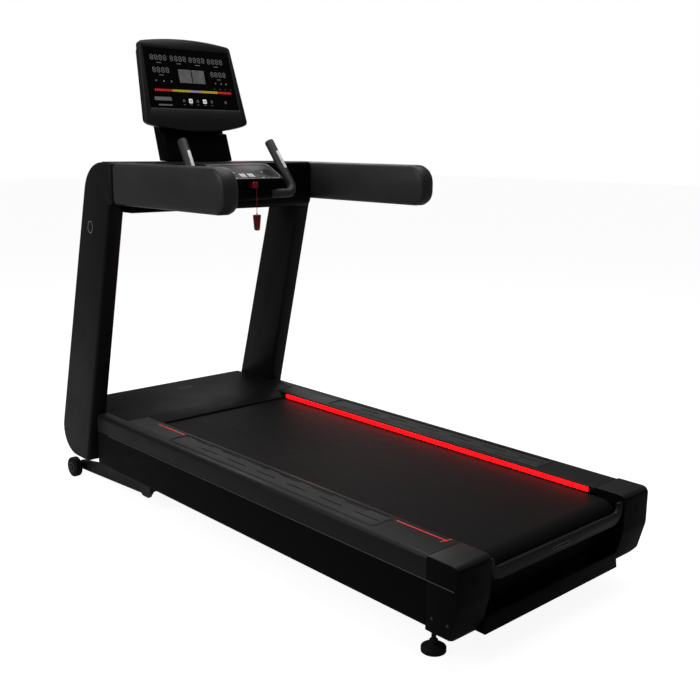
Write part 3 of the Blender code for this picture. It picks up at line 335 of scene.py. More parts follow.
# ---- finishes: shared effects ----
def effect(name, inputs, outputs):
    """An empty shader node group with these sockets."""
    group = bpy.data.node_groups.new(name, "ShaderNodeTree")
    for label, kind, value in inputs:
        socket = group.interface.new_socket(name=label, in_out="INPUT", socket_type=kind)
        if value is not None:
            socket.default_value = value
    for label, kind in outputs:
        group.interface.new_socket(name=label, in_out="OUTPUT", socket_type=kind)
    start = group.nodes.new("NodeGroupInput")
    end = group.nodes.new("NodeGroupOutput")
    return group, start, end


def link(tree, source, target):
    tree.links.new(source, target)


def math_node(tree, operation, first, second):
    node = tree.nodes.new("ShaderNodeMath")
    node.operation = operation
    for socket, value in zip(node.inputs, (first, second)):
        if isinstance(value, (int, float)):
            socket.default_value = value
        else:
            link(tree, value, socket)
    return node.outputs[0]


def noise(tree, vector, scale, detail=3.0, roughness=0.55):
    node = tree.nodes.new("ShaderNodeTexNoise")
    fill(node, {"Detail": detail, "Roughness": roughness})
    if isinstance(scale, (int, float)):
        node.inputs["Scale"].default_value = scale
    else:
        link(tree, scale, node.inputs["Scale"])
    link(tree, vector, node.inputs["Vector"])
    return node.outputs["Fac"]


def moulded_grain():
    """Fine spark-eroded texture of a moulded shell: pits, and the slow mottling of the paint."""
    group, start, end = effect(
        "moulded_grain",
        [("Position", "NodeSocketVector", None), ("Fineness", "NodeSocketFloat", 900.0)],
        [("Height", "NodeSocketFloat"), ("Mottle", "NodeSocketFloat")],
    )
    pits = group.nodes.new("ShaderNodeTexVoronoi")
    link(group, start.outputs["Position"], pits.inputs["Vector"])
    link(group, start.outputs["Fineness"], pits.inputs["Scale"])
    fine = noise(group, start.outputs["Position"], start.outputs["Fineness"])
    height = math_node(group, "ADD", math_node(group, "MULTIPLY", pits.outputs["Distance"], 0.6), fine)
    slow = noise(group, start.outputs["Position"], 7.0, 4.0, 0.6)
    link(group, height, end.inputs["Height"])
    link(group, slow, end.inputs["Mottle"])
    return group


def settled_dust():
    """A thin uneven film on what faces up."""
    group, start, end = effect(
        "settled_dust",
        [("Position", "NodeSocketVector", None), ("Amount", "NodeSocketFloat", 0.1)],
        [("Mask", "NodeSocketFloat")],
    )
    facing = group.nodes.new("ShaderNodeNewGeometry")
    split = group.nodes.new("ShaderNodeSeparateXYZ")
    link(group, facing.outputs["Normal"], split.inputs[0])
    ramp = group.nodes.new("ShaderNodeMapRange")
    ramp.interpolation_type = "SMOOTHSTEP"
    fill(ramp, {"From Min": 0.45, "From Max": 0.98})
    link(group, split.outputs["Z"], ramp.inputs["Value"])
    patches = noise(group, start.outputs["Position"], 5.0, 8.0, 0.7)
    mask = math_node(group, "MULTIPLY", ramp.outputs[0], patches)
    mask = math_node(group, "MULTIPLY", mask, start.outputs["Amount"])
    link(group, mask, end.inputs["Mask"])
    return group


def rubbed_streaks():
    """Fine scratches along one direction, as on brushed metal and a worn belt."""
    group, start, end = effect(
        "rubbed_streaks",
        [
            ("Position", "NodeSocketVector", None),
            ("Stretch", "NodeSocketVector", (1.0, 0.02, 1.0)),
            ("Fineness", "NodeSocketFloat", 500.0),
        ],
        [("Streak", "NodeSocketFloat")],
    )
    scaled = group.nodes.new("ShaderNodeVectorMath")
    scaled.operation = "MULTIPLY"
    link(group, start.outputs["Position"], scaled.inputs[0])
    link(group, start.outputs["Stretch"], scaled.inputs[1])
    streak = noise(group, scaled.outputs[0], start.outputs["Fineness"], 6.0, 0.7)
    link(group, streak, end.inputs["Streak"])
    return group


GRAIN = moulded_grain()
DUST = settled_dust()
STREAKS = rubbed_streaks()


def new_finish(name):
    """A material with its tree, its shader and the piece's own coordinates."""
    finish = bpy.data.materials.new(name)
    finish.use_nodes = True
    tree = finish.node_tree
    shader = tree.nodes["Principled BSDF"]
    place = tree.nodes.new("ShaderNodeTexCoord").outputs["Object"]
    return finish, tree, shader, place


def use(tree, group, place, **values):
    """Places a shared effect in a material with its own values."""
    node = tree.nodes.new("ShaderNodeGroup")
    node.node_tree = group
    link(tree, place, node.inputs["Position"])
    fill(node, values)
    return node


def shades(tree, factor, *stops):
    """A colour ramp through these (position, colour) stops."""
    ramp = tree.nodes.new("ShaderNodeValToRGB")
    ramp.color_ramp.elements.remove(ramp.color_ramp.elements[1])
    ramp.color_ramp.elements[0].position = stops[0][0]
    ramp.color_ramp.elements[0].color = (*stops[0][1], 1)
    for position, colour in stops[1:]:
        ramp.color_ramp.elements.new(position).color = (*colour, 1)
    link(tree, factor, ramp.inputs["Fac"])
    return ramp.outputs["Color"]


def spread(tree, factor, to_min, to_max, from_min=0.3, from_max=0.7):
    node = tree.nodes.new("ShaderNodeMapRange")
    fill(node, {"From Min": from_min, "From Max": from_max, "To Min": to_min, "To Max": to_max})
    link(tree, factor, node.inputs["Value"])
    return node.outputs[0]


def blend_colour(tree, factor, first, second):
    node = tree.nodes.new("ShaderNodeMix")
    node.data_type = "RGBA"
    link(tree, factor, node.inputs["Factor"])
    link(tree, first, node.inputs["A"])
    node.inputs["B"].default_value = (*second, 1)
    return node.outputs["Result"]


def bump(tree, shader, height, strength, distance):
    node = tree.nodes.new("ShaderNodeBump")
    fill(node, {"Strength": strength, "Distance": distance})
    link(tree, height, node.inputs["Height"])
    link(tree, node.outputs["Normal"], shader.inputs["Normal"])


def grey(value):
    return (value, value, value)


def coat(tree, shader, colour, tone, smoothest, roughest, specular=0.5):
    """Gives a shader its colour, a roughness that follows a tone, and its reflection."""
    link(tree, colour, shader.inputs["Base Color"])
    link(tree, spread(tree, tone, smoothest, roughest), shader.inputs["Roughness"])
    shader.inputs["Specular IOR Level"].default_value = specular


# ---- finishes ----
def shell_plastic(name, dark, light, rough, specular=0.3, fineness=900.0, relief=0.12, dust=0.12):
    """Satin moulded shell: fine grain, slow mottling and a trace of dust."""
    finish, tree, shader, place = new_finish(name)
    grain = use(tree, GRAIN, place, Fineness=fineness)
    film = use(tree, DUST, place, Amount=dust)
    colour = shades(tree, grain.outputs["Mottle"], (0.3, grey(dark)), (0.7, grey(light)))
    colour = blend_colour(tree, film.outputs["Mask"], colour, (0.16, 0.155, 0.15))
    coat(tree, shader, colour, grain.outputs["Mottle"], rough - 0.05, rough + 0.07, specular)
    bump(tree, shader, grain.outputs["Height"], relief, 0.0004)
    return finish


def floor_paint():
    finish, tree, shader, place = new_finish("pale_floor")
    tone = noise(tree, place, 1.5, 3.0)
    link(tree, shades(tree, tone, (0.3, grey(0.40)), (0.7, grey(0.42))), shader.inputs["Base Color"])
    fill(shader, {"Roughness": 0.6, "Specular IOR Level": 0.2, "Emission Color": (1, 1, 1, 1)})
    rays = tree.nodes.new("ShaderNodeLightPath")
    level = spread(tree, rays.outputs["Is Camera Ray"], 0.08, 0.92, 0.0, 1.0)
    link(tree, level, shader.inputs["Emission Strength"])
    return finish


def glowing(name, colour, strength, edge=0.75):
    """A lit diffuser or lamp, a little uneven along its length; also gives the painted glow of unlit
    digits.
    """
    finish, tree, shader, place = new_finish(name)
    tone = noise(tree, place, 30.0, 2.0)
    dim = tuple(edge * part for part in colour)
    lit = shades(tree, tone, (0.3, dim), (0.7, colour))
    link(tree, lit, shader.inputs["Emission Color"])
    link(tree, lit, shader.inputs["Base Color"])
    fill(shader, {"Emission Strength": strength, "Roughness": 0.35})
    return finish


def running_belt_cover():
    """Black belt top: a fine diamond weave with lengthwise scuffs in its colour and gloss."""
    finish, tree, shader, place = new_finish("running_belt_cover")
    turned = tree.nodes.new("ShaderNodeMapping")
    turned.inputs["Rotation"].default_value = (0, 0, math.radians(45))
    link(tree, place, turned.inputs["Vector"])
    weave = tree.nodes.new("ShaderNodeTexChecker")
    weave.inputs["Scale"].default_value = 620.0
    link(tree, turned.outputs[0], weave.inputs["Vector"])
    grain = use(tree, GRAIN, place, Fineness=1500.0)
    scuff = use(tree, STREAKS, place, Stretch=(1.0, 0.03, 1.0), Fineness=160.0)
    film = use(tree, DUST, place, Amount=0.07)
    colour = shades(tree, scuff.outputs["Streak"], (0.35, grey(0.0052)), (0.7, grey(0.0085)))
    colour = blend_colour(tree, film.outputs["Mask"], colour, (0.06, 0.058, 0.055))
    coat(tree, shader, colour, scuff.outputs["Streak"], 0.50, 0.64, 0.06)
    height = math_node(tree, "MULTIPLY", weave.outputs["Fac"], 0.4)
    bump(tree, shader, math_node(tree, "ADD", height, grain.outputs["Height"]), 0.25, 0.0005)
    return finish


def brushed_steel(name, light=0.62, rough=0.28, stretch=(1.0, 1.0, 0.02), fineness=700.0):
    finish, tree, shader, place = new_finish(name)
    brush = use(tree, STREAKS, place, Stretch=stretch, Fineness=fineness)
    colour = shades(tree, brush.outputs["Streak"], (0.3, grey(light * 0.82)), (0.7, grey(light)))
    coat(tree, shader, colour, brush.outputs["Streak"], rough - 0.06, rough + 0.1)
    shader.inputs["Metallic"].default_value = 1.0
    bump(tree, shader, brush.outputs["Streak"], 0.15, 0.0002)
    return finish


def powder_coat(name, shade, rough=0.45):
    """Sprayed and baked paint with a light orange peel."""
    finish, tree, shader, place = new_finish(name)
    peel = noise(tree, place, 260.0, 2.0)
    slow = noise(tree, place, 9.0, 4.0)
    film = use(tree, DUST, place, Amount=0.15)
    colour = shades(tree, slow, (0.3, grey(shade * 0.8)), (0.7, grey(shade * 1.2)))
    colour = blend_colour(tree, film.outputs["Mask"], colour, (0.2, 0.19, 0.18))
    coat(tree, shader, colour, slow, rough - 0.05, rough + 0.08, 0.4)
    bump(tree, shader, peel, 0.2, 0.0006)
    return finish


def rubber(name, shade=0.012, rough=0.72):
    finish, tree, shader, place = new_finish(name)
    grain = use(tree, GRAIN, place, Fineness=500.0)
    film = use(tree, DUST, place, Amount=0.2)
    colour = shades(tree, grain.outputs["Mottle"], (0.3, grey(shade)), (0.7, grey(shade * 1.8)))
    colour = blend_colour(tree, film.outputs["Mask"], colour, (0.14, 0.13, 0.12))
    coat(tree, shader, colour, grain.outputs["Mottle"], rough - 0.08, rough + 0.08, 0.3)
    bump(tree, shader, grain.outputs["Height"], 0.3, 0.0006)
    return finish


def gloss_black(name, shade, rough, varnish, specular):
    """Polished black face: fine handling marks show only in its gloss."""
    finish, tree, shader, place = new_finish(name)
    marks = noise(tree, place, 18.0, 6.0, 0.7)
    smears = use(tree, STREAKS, place, Stretch=(1.0, 1.0, 0.25), Fineness=90.0)
    colour = shades(tree, marks, (0.3, grey(shade)), (0.7, grey(shade * 1.4)))
    link(tree, colour, shader.inputs["Base Color"])
    gloss = math_node(tree, "MULTIPLY", marks, smears.outputs["Streak"])
    link(tree, spread(tree, gloss, rough, rough + 0.1, 0.1, 0.45), shader.inputs["Roughness"])
    fill(shader, {"Coat Weight": varnish, "Coat Roughness": 0.05, "Specular IOR Level": specular})
    return finish


def tinted_plastic(name, dark, light, rough=0.35):
    """Coloured moulding with a soft gloss."""
    finish, tree, shader, place = new_finish(name)
    grain = use(tree, GRAIN, place, Fineness=1200.0)
    slow = noise(tree, place, 60.0, 3.0)
    colour = shades(tree, slow, (0.3, dark), (0.7, light))
    coat(tree, shader, colour, slow, rough - 0.06, rough + 0.08, 0.4)
    bump(tree, shader, grain.outputs["Height"], 0.1, 0.0003)
    return finish


def braided_cord():
    """Fine red cord: two crossing diagonals of twisted yarn along its length."""
    finish, tree, shader, place = new_finish("braided_cord")
    waves = []
    for tilt in (0.6, -0.6):
        turned = tree.nodes.new("ShaderNodeMapping")
        turned.inputs["Rotation"].default_value = (tilt, tilt, 0)
        link(tree, place, turned.inputs["Vector"])
        wave = tree.nodes.new("ShaderNodeTexWave")
        wave.bands_direction = "Z"
        wave.inputs["Scale"].default_value = 420.0
        link(tree, turned.outputs[0], wave.inputs["Vector"])
        waves.append(wave.outputs["Fac"])
    braid = math_node(tree, "MULTIPLY", waves[0], waves[1])
    colour = shades(tree, braid, (0.0, (0.16, 0.004, 0.006)), (0.7, (0.5, 0.02, 0.025)))
    link(tree, colour, shader.inputs["Base Color"])
    link(tree, spread(tree, braid, 0.5, 0.75, 0.0, 1.0), shader.inputs["Roughness"])
    bump(tree, shader, braid, 0.5, 0.0004)
    return finish


def bare_board():
    """Laminated deck board: long fibres and a waxed sheen."""
    finish, tree, shader, place = new_finish("bare_board")
    fibre = use(tree, STREAKS, place, Stretch=(1.0, 0.04, 1.0), Fineness=120.0)
    grain = fibre.outputs["Streak"]
    colour = shades(tree, grain, (0.3, (0.10, 0.055, 0.028)), (0.7, (0.2, 0.12, 0.06)))
    coat(tree, shader, colour, grain, 0.4, 0.6)
    bump(tree, shader, grain, 0.2, 0.0005)
    return finish


SHELL = shell_plastic("satin_charcoal_shell", 0.0088, 0.0115, 0.42, specular=0.18, dust=0.06)
HOOD_SHELL = shell_plastic("hood_shell", 0.0060, 0.0080, 0.44, specular=0.05, dust=0.05)
# A darker, duller copy of the shell for side panels, rear caps, rear shelf and other faces turned from
# the lights: painted shade.
SIDE_SHELL_PAINTED_SHADE = shell_plastic("low_gloss_side_shell_painted_shade", 0.0026, 0.0038, 0.5, specular=0.05, dust=0.03)
FRAME_SHELL = shell_plastic("upright_paint", 0.0115, 0.0145, 0.4, 0.10, 1300.0, 0.06, 0.05)
# The arms' base colour sits about three times above the shell's, lifted to stand in for the highlight
# along their crowned tops: partly own tone, partly painted highlight.
ARM_GRIP_PAINTED_SHEEN = shell_plastic("soft_touch_arm_painted_sheen", 0.0300, 0.0370, 0.40, 0.22, 700.0, 0.2, 0.05)
CONSOLE_SHELL = shell_plastic("console_shell", 0.0022, 0.0032, 0.4, specular=0.04, dust=0.03)
POD_FACE = shell_plastic("key_pad_face", 0.026, 0.034, 0.38, 0.3, 1500.0, 0.06, 0.05)
BAR_GREY = shell_plastic("rear_bar_grey", 0.010, 0.014, 0.36, specular=0.10, relief=0.08, dust=0.04)
BEZEL_BLACK = gloss_black("display_bezel_black", 0.0060, 0.30, 0.05, 0.35)
SCREEN_BLACK = gloss_black("display_screen_black", 0.0007, 0.14, 0.03, 0.12)
BELT_COVER = running_belt_cover()
# Near-white non-metal colour on the steel sensor plates: painted reflection of the bright studio.
SENSOR_PAINTED_REFLECTION = tinted_plastic("plated_sensor_painted_reflection", (0.86, 0.86, 0.86), (0.95, 0.95, 0.95), 0.25)
ZINC = brushed_steel("zinc_plated_steel", 0.55, 0.32, (1.0, 0.05, 1.0))
TURNED = brushed_steel("turned_aluminium", 0.7, 0.3, (0.03, 1.0, 1.0))
CAST = powder_coat("cast_block_paint", 0.09, 0.55)
FRAME_PAINT = powder_coat("frame_powder_coat", 0.009)
MOTOR_PAINT = powder_coat("motor_enamel", 0.05, 0.35)
RUBBER = rubber("black_rubber", 0.003)
DRIVE_RUBBER = rubber("ribbed_drive_belt", 0.009, 0.6)
BOARD = bare_board()
KEY_WHITE = tinted_plastic("white_key", (0.74, 0.74, 0.73), (0.84, 0.84, 0.83))
KEY_RED = tinted_plastic("safety_key_red", (0.24, 0.004, 0.012), (0.30, 0.006, 0.018))
CLIP_RED = tinted_plastic("clip_dark_red", (0.15, 0.002, 0.003), (0.20, 0.003, 0.005))
CORD_RED = braided_cord()
LIT_RED = glowing("rail_light_red", (1.0, 0.0016, 0.0028), 6.0)
LINE_RED = glowing("marker_line_red", (0.62, 0.010, 0.012), 0.9)

# Unlit digit strokes and matrix dots glow faintly: painted light on segments that are not lit.
UNLIT_DIGIT_PAINTED_GLOW = glowing("unlit_digit_painted_glow", (0.20, 0.20, 0.205), 0.45)
DIM_WHITE = glowing("dim_legend_white", (0.24, 0.24, 0.25), 0.35)
FIELD_GREY = glowing("lower_field_grey", (0.12, 0.12, 0.125), 0.4)
ICON_WHITE = glowing("lit_icon_white", (0.80, 0.80, 0.82), 0.55)
LAMP_GREEN = glowing("lamp_green", (0.02, 0.12, 0.03), 0.8)
LAMP_RED = glowing("lamp_red", (0.42, 0.010, 0.012), 0.9)
LAMP_YELLOW = glowing("lamp_yellow", (0.34, 0.25, 0.010), 0.9)
LAMP_PALE = glowing("lamp_pale", (0.24, 0.19, 0.25), 0.9)
LOAD_BAR_ZONES = (
    (0.0, 0.22, LAMP_RED),
    (0.22, 0.44, LAMP_YELLOW),
    (0.44, 0.60, LAMP_PALE),
    (0.60, 0.81, LAMP_YELLOW),
    (0.81, 1.0, LAMP_RED),
)
TRIM_GREY = brushed_steel("trim_grey", 0.16, 0.42, (1.0, 0.03, 1.0))
# Light grey for the upright badges, and on the key pad's rim a painted highlight along its rounded
# edge.
GREY_BADGE_AND_PAINTED_RIM_HIGHLIGHT = tinted_plastic("painted_rim_highlight_and_badge_grey", (0.26, 0.26, 0.265), (0.34, 0.34, 0.345), 0.3)
ARC_PINK = tinted_plastic("clip_arc_pink", (0.42, 0.12, 0.13), (0.50, 0.16, 0.17), 0.4)
BLACK_STEEL = powder_coat("blackened_steel", 0.03, 0.35)
PAD_RUBBER = rubber("foot_pad_rubber", 0.0075, 0.6)
# Dark fill for seams and signs, and painted shade in vent openings and pod dishes.
DARK_GAP = rubber("dark_gap", 0.002, 0.9)
BELT_JOINT = rubber("belt_joint_line", 0.0045, 0.7)

FINISH_OF_SLOT = {
    "steel_coat": FRAME_PAINT,
    "upright_coat": FRAME_SHELL,
    "bright_steel": ZINC,
    "roller_aluminium": TURNED,
    "cast_block": CAST,
    "motor_body": MOTOR_PAINT,
    "black_cover": SHELL,
    "grey_panel": POD_FACE,
    "arm_grip": ARM_GRIP_PAINTED_SHEEN,
    "belt_rubber": BELT_COVER,
    "black_rubber": RUBBER,
    "deck_board": BOARD,
    "screen_glass": SCREEN_BLACK,
    "red_light": LIT_RED,
    "red_plastic": KEY_RED,
    "red_cord": CORD_RED,
    "button_white": KEY_WHITE,
}
FINISH_OF_NODE = {
    # Side panels, rear shelf and rear caps take the darker shell copy: painted shade.
    "side_panel_left": SIDE_SHELL_PAINTED_SHADE,
    "side_panel_right": SIDE_SHELL_PAINTED_SHADE,
    "console_beam": CONSOLE_SHELL,
    "display_bezel": BEZEL_BLACK,
    "display_back": CONSOLE_SHELL,
    "display_mast": CONSOLE_SHELL,
    "rear_bar": BAR_GREY,
    "rear_shelf": SIDE_SHELL_PAINTED_SHADE,
    "rear_cap_left": SIDE_SHELL_PAINTED_SHADE,
    "rear_cap_right": SIDE_SHELL_PAINTED_SHADE,
    "hood_lip": HOOD_SHELL,
    "motor_hood": HOOD_SHELL,
    "grip_mount": CONSOLE_SHELL,
    "pulse_sensor_left": SENSOR_PAINTED_REFLECTION,
    "pulse_sensor_right": SENSOR_PAINTED_REFLECTION,
    "lanyard_clip": CLIP_RED,
    "drive_belt": DRIVE_RUBBER,
}
SLOT_OF = {part["node"]: part["material_slot"] for part in frame["record"]["subparts"]}


def finish_for(node):
    return FINISH_OF_NODE.get(node, FINISH_OF_SLOT[SLOT_OF[node]])


def dress_packed_pieces():
    for node, piece in frame["nodes"].items():
        dress(piece, finish_for(node))


# ---- small pieces modelled once and repeated ----
def start_piece(width, depth, corner, steps=3):
    """A flat rounded rectangle about the origin, open for editing with all of it selected."""
    bpy.ops.mesh.primitive_plane_add(size=1, location=(0, 0, 0))
    piece = bpy.context.active_object
    piece.scale = (width, depth, 1)
    bpy.ops.object.transform_apply(location=False, rotation=False, scale=True)
    edit(piece)
    take_all()
    if corner:
        bpy.ops.mesh.bevel(offset=corner, segments=steps, affect="VERTICES")
        take_all()
    return piece


def raise_up(height):
    bpy.ops.mesh.extrude_region_move(TRANSFORM_OT_translate={"value": (0, 0, height)})


def close_up(piece):
    """Leaves edit mode with every face turned outwards."""
    take_all()
    bpy.ops.mesh.normals_make_consistent(inside=False)
    done()
    return piece


def tile(width, depth, thick, corner, edge=0.0, steps=3):
    """A rounded plate with a softened top edge."""
    piece = start_piece(width, depth, corner, steps)
    raise_up(thick)
    if edge:
        round_edges(edge, 2)
    return close_up(piece)


def opened(piece, wall, thick):
    """Opens a flat outline through its middle, leaves this much wall and raises it."""
    inset(wall, 0)
    bpy.ops.mesh.delete(type="FACE")
    take_all()
    raise_up(thick)
    return close_up(piece)


def hoop(width, depth, thick, wall, corner, steps=8):
    """A flat raised outline of a rounded rectangle."""
    return opened(start_piece(width, depth, corner, steps), wall, thick)


def oval_ring(width, depth, thick, wall):
    """A plain oval ring."""
    return hoop(width, depth, thick, wall, depth * 0.49)


def disc(sides, radius):
    """A flat regular outline about the origin, open for editing with all of it selected."""
    origin = (0, 0, 0)
    bpy.ops.mesh.primitive_circle_add(vertices=sides, radius=radius, fill_type="NGON", location=origin)
    piece = bpy.context.active_object
    edit(piece)
    take_all()
    return piece


def ridge(length, width, rise):
    """A foot-pad rib: a rounded bar whose top is narrower than its foot."""
    piece = start_piece(width, length, width * 0.45, 4)
    raise_up(rise)
    bpy.ops.transform.resize(value=(0.72, 0.96, 1))
    round_edges(rise * 0.3, 2)
    return close_up(piece)


def lit_bar(length, width, thick):
    """One stroke of a digit, pointed at both ends."""
    piece = disc(6, width / 2)
    raise_up(thick)
    close_up(piece)
    piece.data.transform(Matrix.Scale(length / width, 4, (1, 0, 0)))
    return piece


def socket_screw(radius, rise):
    """A button-head screw with a hexagonal socket."""
    middle = (0, 0, rise / 2)
    bpy.ops.mesh.primitive_cylinder_add(vertices=18, radius=radius, depth=rise, location=middle)
    piece = bpy.context.active_object
    bpy.ops.object.transform_apply(location=True, rotation=False, scale=False)
    pick_faces(piece, lambda centre, normal: normal.z > 0.9)
    round_edges(radius * 0.25, 3)
    done()
    pick_faces(piece, lambda centre, normal: normal.z > 0.99)
    inset(radius * 0.28, 0)
    inset(radius * 0.02, -rise * 0.6)
    return close_up(piece)


def pick_faces(piece, wanted):
    """Opens the piece for editing with only the wanted faces selected."""
    edit(piece)
    bpy.ops.mesh.select_mode(type="FACE")
    bpy.ops.object.mode_set(mode="OBJECT")
    for face in piece.data.polygons:
        face.select = bool(wanted(face.center, face.normal))
    bpy.ops.object.mode_set(mode="EDIT")


def settle(piece, name, finish, body="frame", angle=35):
    """Names, smooths and dresses a finished piece and lets it ride on its body."""
    piece.name = name
    piece.data.name = name
    pick(piece)
    bpy.ops.object.transform_apply(location=True, rotation=True, scale=True)
    smooth(piece, angle)
    dress(piece, finish)
    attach(piece, body)
    return piece


def repeat(pattern, places, name, finish, body="frame", angle=35):
    """Copies a modelled piece to each place and joins the copies."""
    copies = []
    for place in places:
        twin = bpy.data.objects.new(name, pattern.data.copy())
        twin.data.transform(place)
        if place.determinant() < 0:
            twin.data.flip_normals()
        show(twin)
        copies.append(twin)
    bpy.data.objects.remove(pattern)
    pick(copies[0])
    for twin in copies:
        twin.select_set(True)
    if len(copies) > 1:
        bpy.ops.object.join()
    return settle(bpy.context.view_layer.objects.active, name, finish, body, angle)


def frame_at(place, across, up):
    """A matrix that stands local Z along up and local X along across at a place."""
    up = Vector(up).normalized()
    across = (Vector(across) - up * up.dot(Vector(across))).normalized()
    turn = Matrix((across, up.cross(across), up)).transposed().to_4x4()
    return Matrix.Translation(place) @ turn


def facing_rear(place):
    """A frame with X across the machine and Z towards its rear end."""
    return frame_at(place, (1, 0, 0), (0, -1, 0))


def facing_out(place, side):
    """A frame with X along the machine and Z out of one side."""
    return frame_at(place, (0, 1, 0), (side, 0, 0))


# ---- lanyard ----
def clip_pieces():
    """The tapered clip, the arc moulded on it and the sleeve that holds the cord."""
    cord_low = Vector(CORD_ROUTE[-1])
    sleeve = tile(0.0052, 0.0044, 0.0042, 0.0018, 0.0008)
    place = Matrix.Translation(cord_low + Vector((0, 0, 0.0012)))
    sleeve = repeat(sleeve, [place], "cord_sleeve", CORD_RED, "safety_key")
    low_end = low("lanyard_clip")
    spot = Vector((cord_low.x, low_end.y - 0.0001, low_end.z + 0.0125))
    arc = hoop(0.0120, 0.0120, 0.0005, 0.0014, 0.0058)
    pick_faces(arc, lambda centre, normal: centre.y > 0.0005)
    bpy.ops.mesh.delete(type="FACE")
    take_all()
    bpy.ops.mesh.fill_holes(sides=0)
    close_up(arc)
    at_clip = facing_rear(spot)
    arc = repeat(arc, [at_clip], "clip_arc", ARC_PINK, "safety_key")
    clip = refined("lanyard_clip", CLIP_RED, 0.0010, 2)
    return [clip, sleeve, arc]


def lanyard():
    """The cord from the key to its clip, hanging almost straight."""
    line = bpy.data.curves.new("lanyard", "CURVE")
    line.dimensions = "3D"
    line.bevel_depth = CORD_RADIUS
    line.bevel_resolution = 3
    line.resolution_u = 8
    line.use_fill_caps = True
    strand = line.splines.new("NURBS")
    strand.points.add(len(CORD_ROUTE) - 1)
    for point, place in zip(strand.points, CORD_ROUTE):
        point.co = (*place, 1)
    strand.use_endpoint_u = True
    strand.order_u = 3
    cord = bpy.data.objects.new("lanyard", line)
    show(cord)
    dress(cord, CORD_RED)
    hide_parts("lanyard_cord")
    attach(cord, "safety_key")
    clip_pieces()


# ---- display face ----
def screen_frame():
    """A frame on the screen's lower edge, with Y up the glass and Z towards the runner; its size."""
    first, last = low("display_screen"), high("display_screen")
    foot = Vector((0, first.y, first.z + SCREEN_THICK * math.sin(DISPLAY_TILT)))
    height = (last.z - foot.z) / math.cos(DISPLAY_TILT)
    towards = (0, -math.cos(DISPLAY_TILT), math.sin(DISPLAY_TILT))
    return frame_at(foot, (1, 0, 0), towards), 2 * last.x, height


def on_screen(across, down, lift=0.0):
    """The place on the glass at these shares of its width and height, from its top left."""
    glass, width, height = screen_frame()
    taper = 1 - SCREEN_TAPER * (1 - down)
    spot = Vector(((across - 0.5) * width * taper, (1 - down) * height, lift))
    return glass @ Matrix.Translation(spot)


def digit_strokes(width, height):
    """Places of a digit's seven strokes about its middle: three across, four up."""
    lying = [Matrix.Translation((0, y, 0)) for y in (-height / 2, 0, height / 2)]
    upright = Matrix.Rotation(math.radians(90), 4, "Z")
    standing = [
        Matrix.Translation((x, y, 0)) @ upright
        for x in (-width / 2, width / 2)
        for y in (-height / 4, height / 4)
    ]
    return lying + standing


def digit_blocks():
    """Unlit digits, four to a block, with a short legend bar under each block."""
    digits, legends = [], []
    for across, down, count in DIGIT_BLOCKS:
        for index in range(count):
            shift = (index - (count - 1) / 2) * DIGIT_PITCH
            for stroke in digit_strokes(DIGIT_WIDTH, DIGIT_HEIGHT):
                digits.append(on_screen(across, down) @ Matrix.Translation((shift, 0, 0)) @ stroke)
        legends.append(on_screen(across, down + LEGEND_DROP))
    stroke = lit_bar(DIGIT_HEIGHT / 2 - 0.0006, 0.0022, GRAPHIC_RISE)
    # The unlit strokes glow faintly: painted light.
    repeat(stroke, digits, "display_digits", UNLIT_DIGIT_PAINTED_GLOW)
    legend = tile(0.020, 0.0016, GRAPHIC_RISE, 0.0006)
    repeat(legend, legends, "display_legends", DIM_WHITE)


def matrix_field():
    """The middle field of small square dots."""
    glass_spot = on_screen(*MATRIX_MIDDLE)
    columns, rows = MATRIX_DOTS
    dots = []
    for i in range(columns):
        for j in range(rows):
            shift = ((i - (columns - 1) / 2) * MATRIX_PITCH, (j - (rows - 1) / 2) * MATRIX_PITCH, 0)
            if i != columns // 2:
                dots.append(glass_spot @ Matrix.Translation(shift))
    size = MATRIX_PITCH * 0.72
    dot = tile(size, size, GRAPHIC_RISE, MATRIX_PITCH * 0.15, steps=1)
    # The unlit dots glow faintly: painted light.
    repeat(dot, dots, "display_matrix", UNLIT_DIGIT_PAINTED_GLOW)


def load_bar():
    """The bar of lamps across the glass, from red through yellow to pale in the middle."""
    start, end = LOAD_BAR_SPAN
    for index, (share_low, share_high, finish) in enumerate(LOAD_BAR_ZONES):
        count = round((share_high - share_low) * LOAD_BAR_LAMPS)
        places = []
        for lamp in range(count):
            share = share_low + (share_high - share_low) * (lamp + 0.5) / count
            places.append(on_screen(start + (end - start) * share, LOAD_BAR_DOWN))
        lamp = tile(0.0060, 0.0085, GRAPHIC_RISE, 0.0008)
        repeat(lamp, places, "load_lamps_%d" % (index + 1), finish)


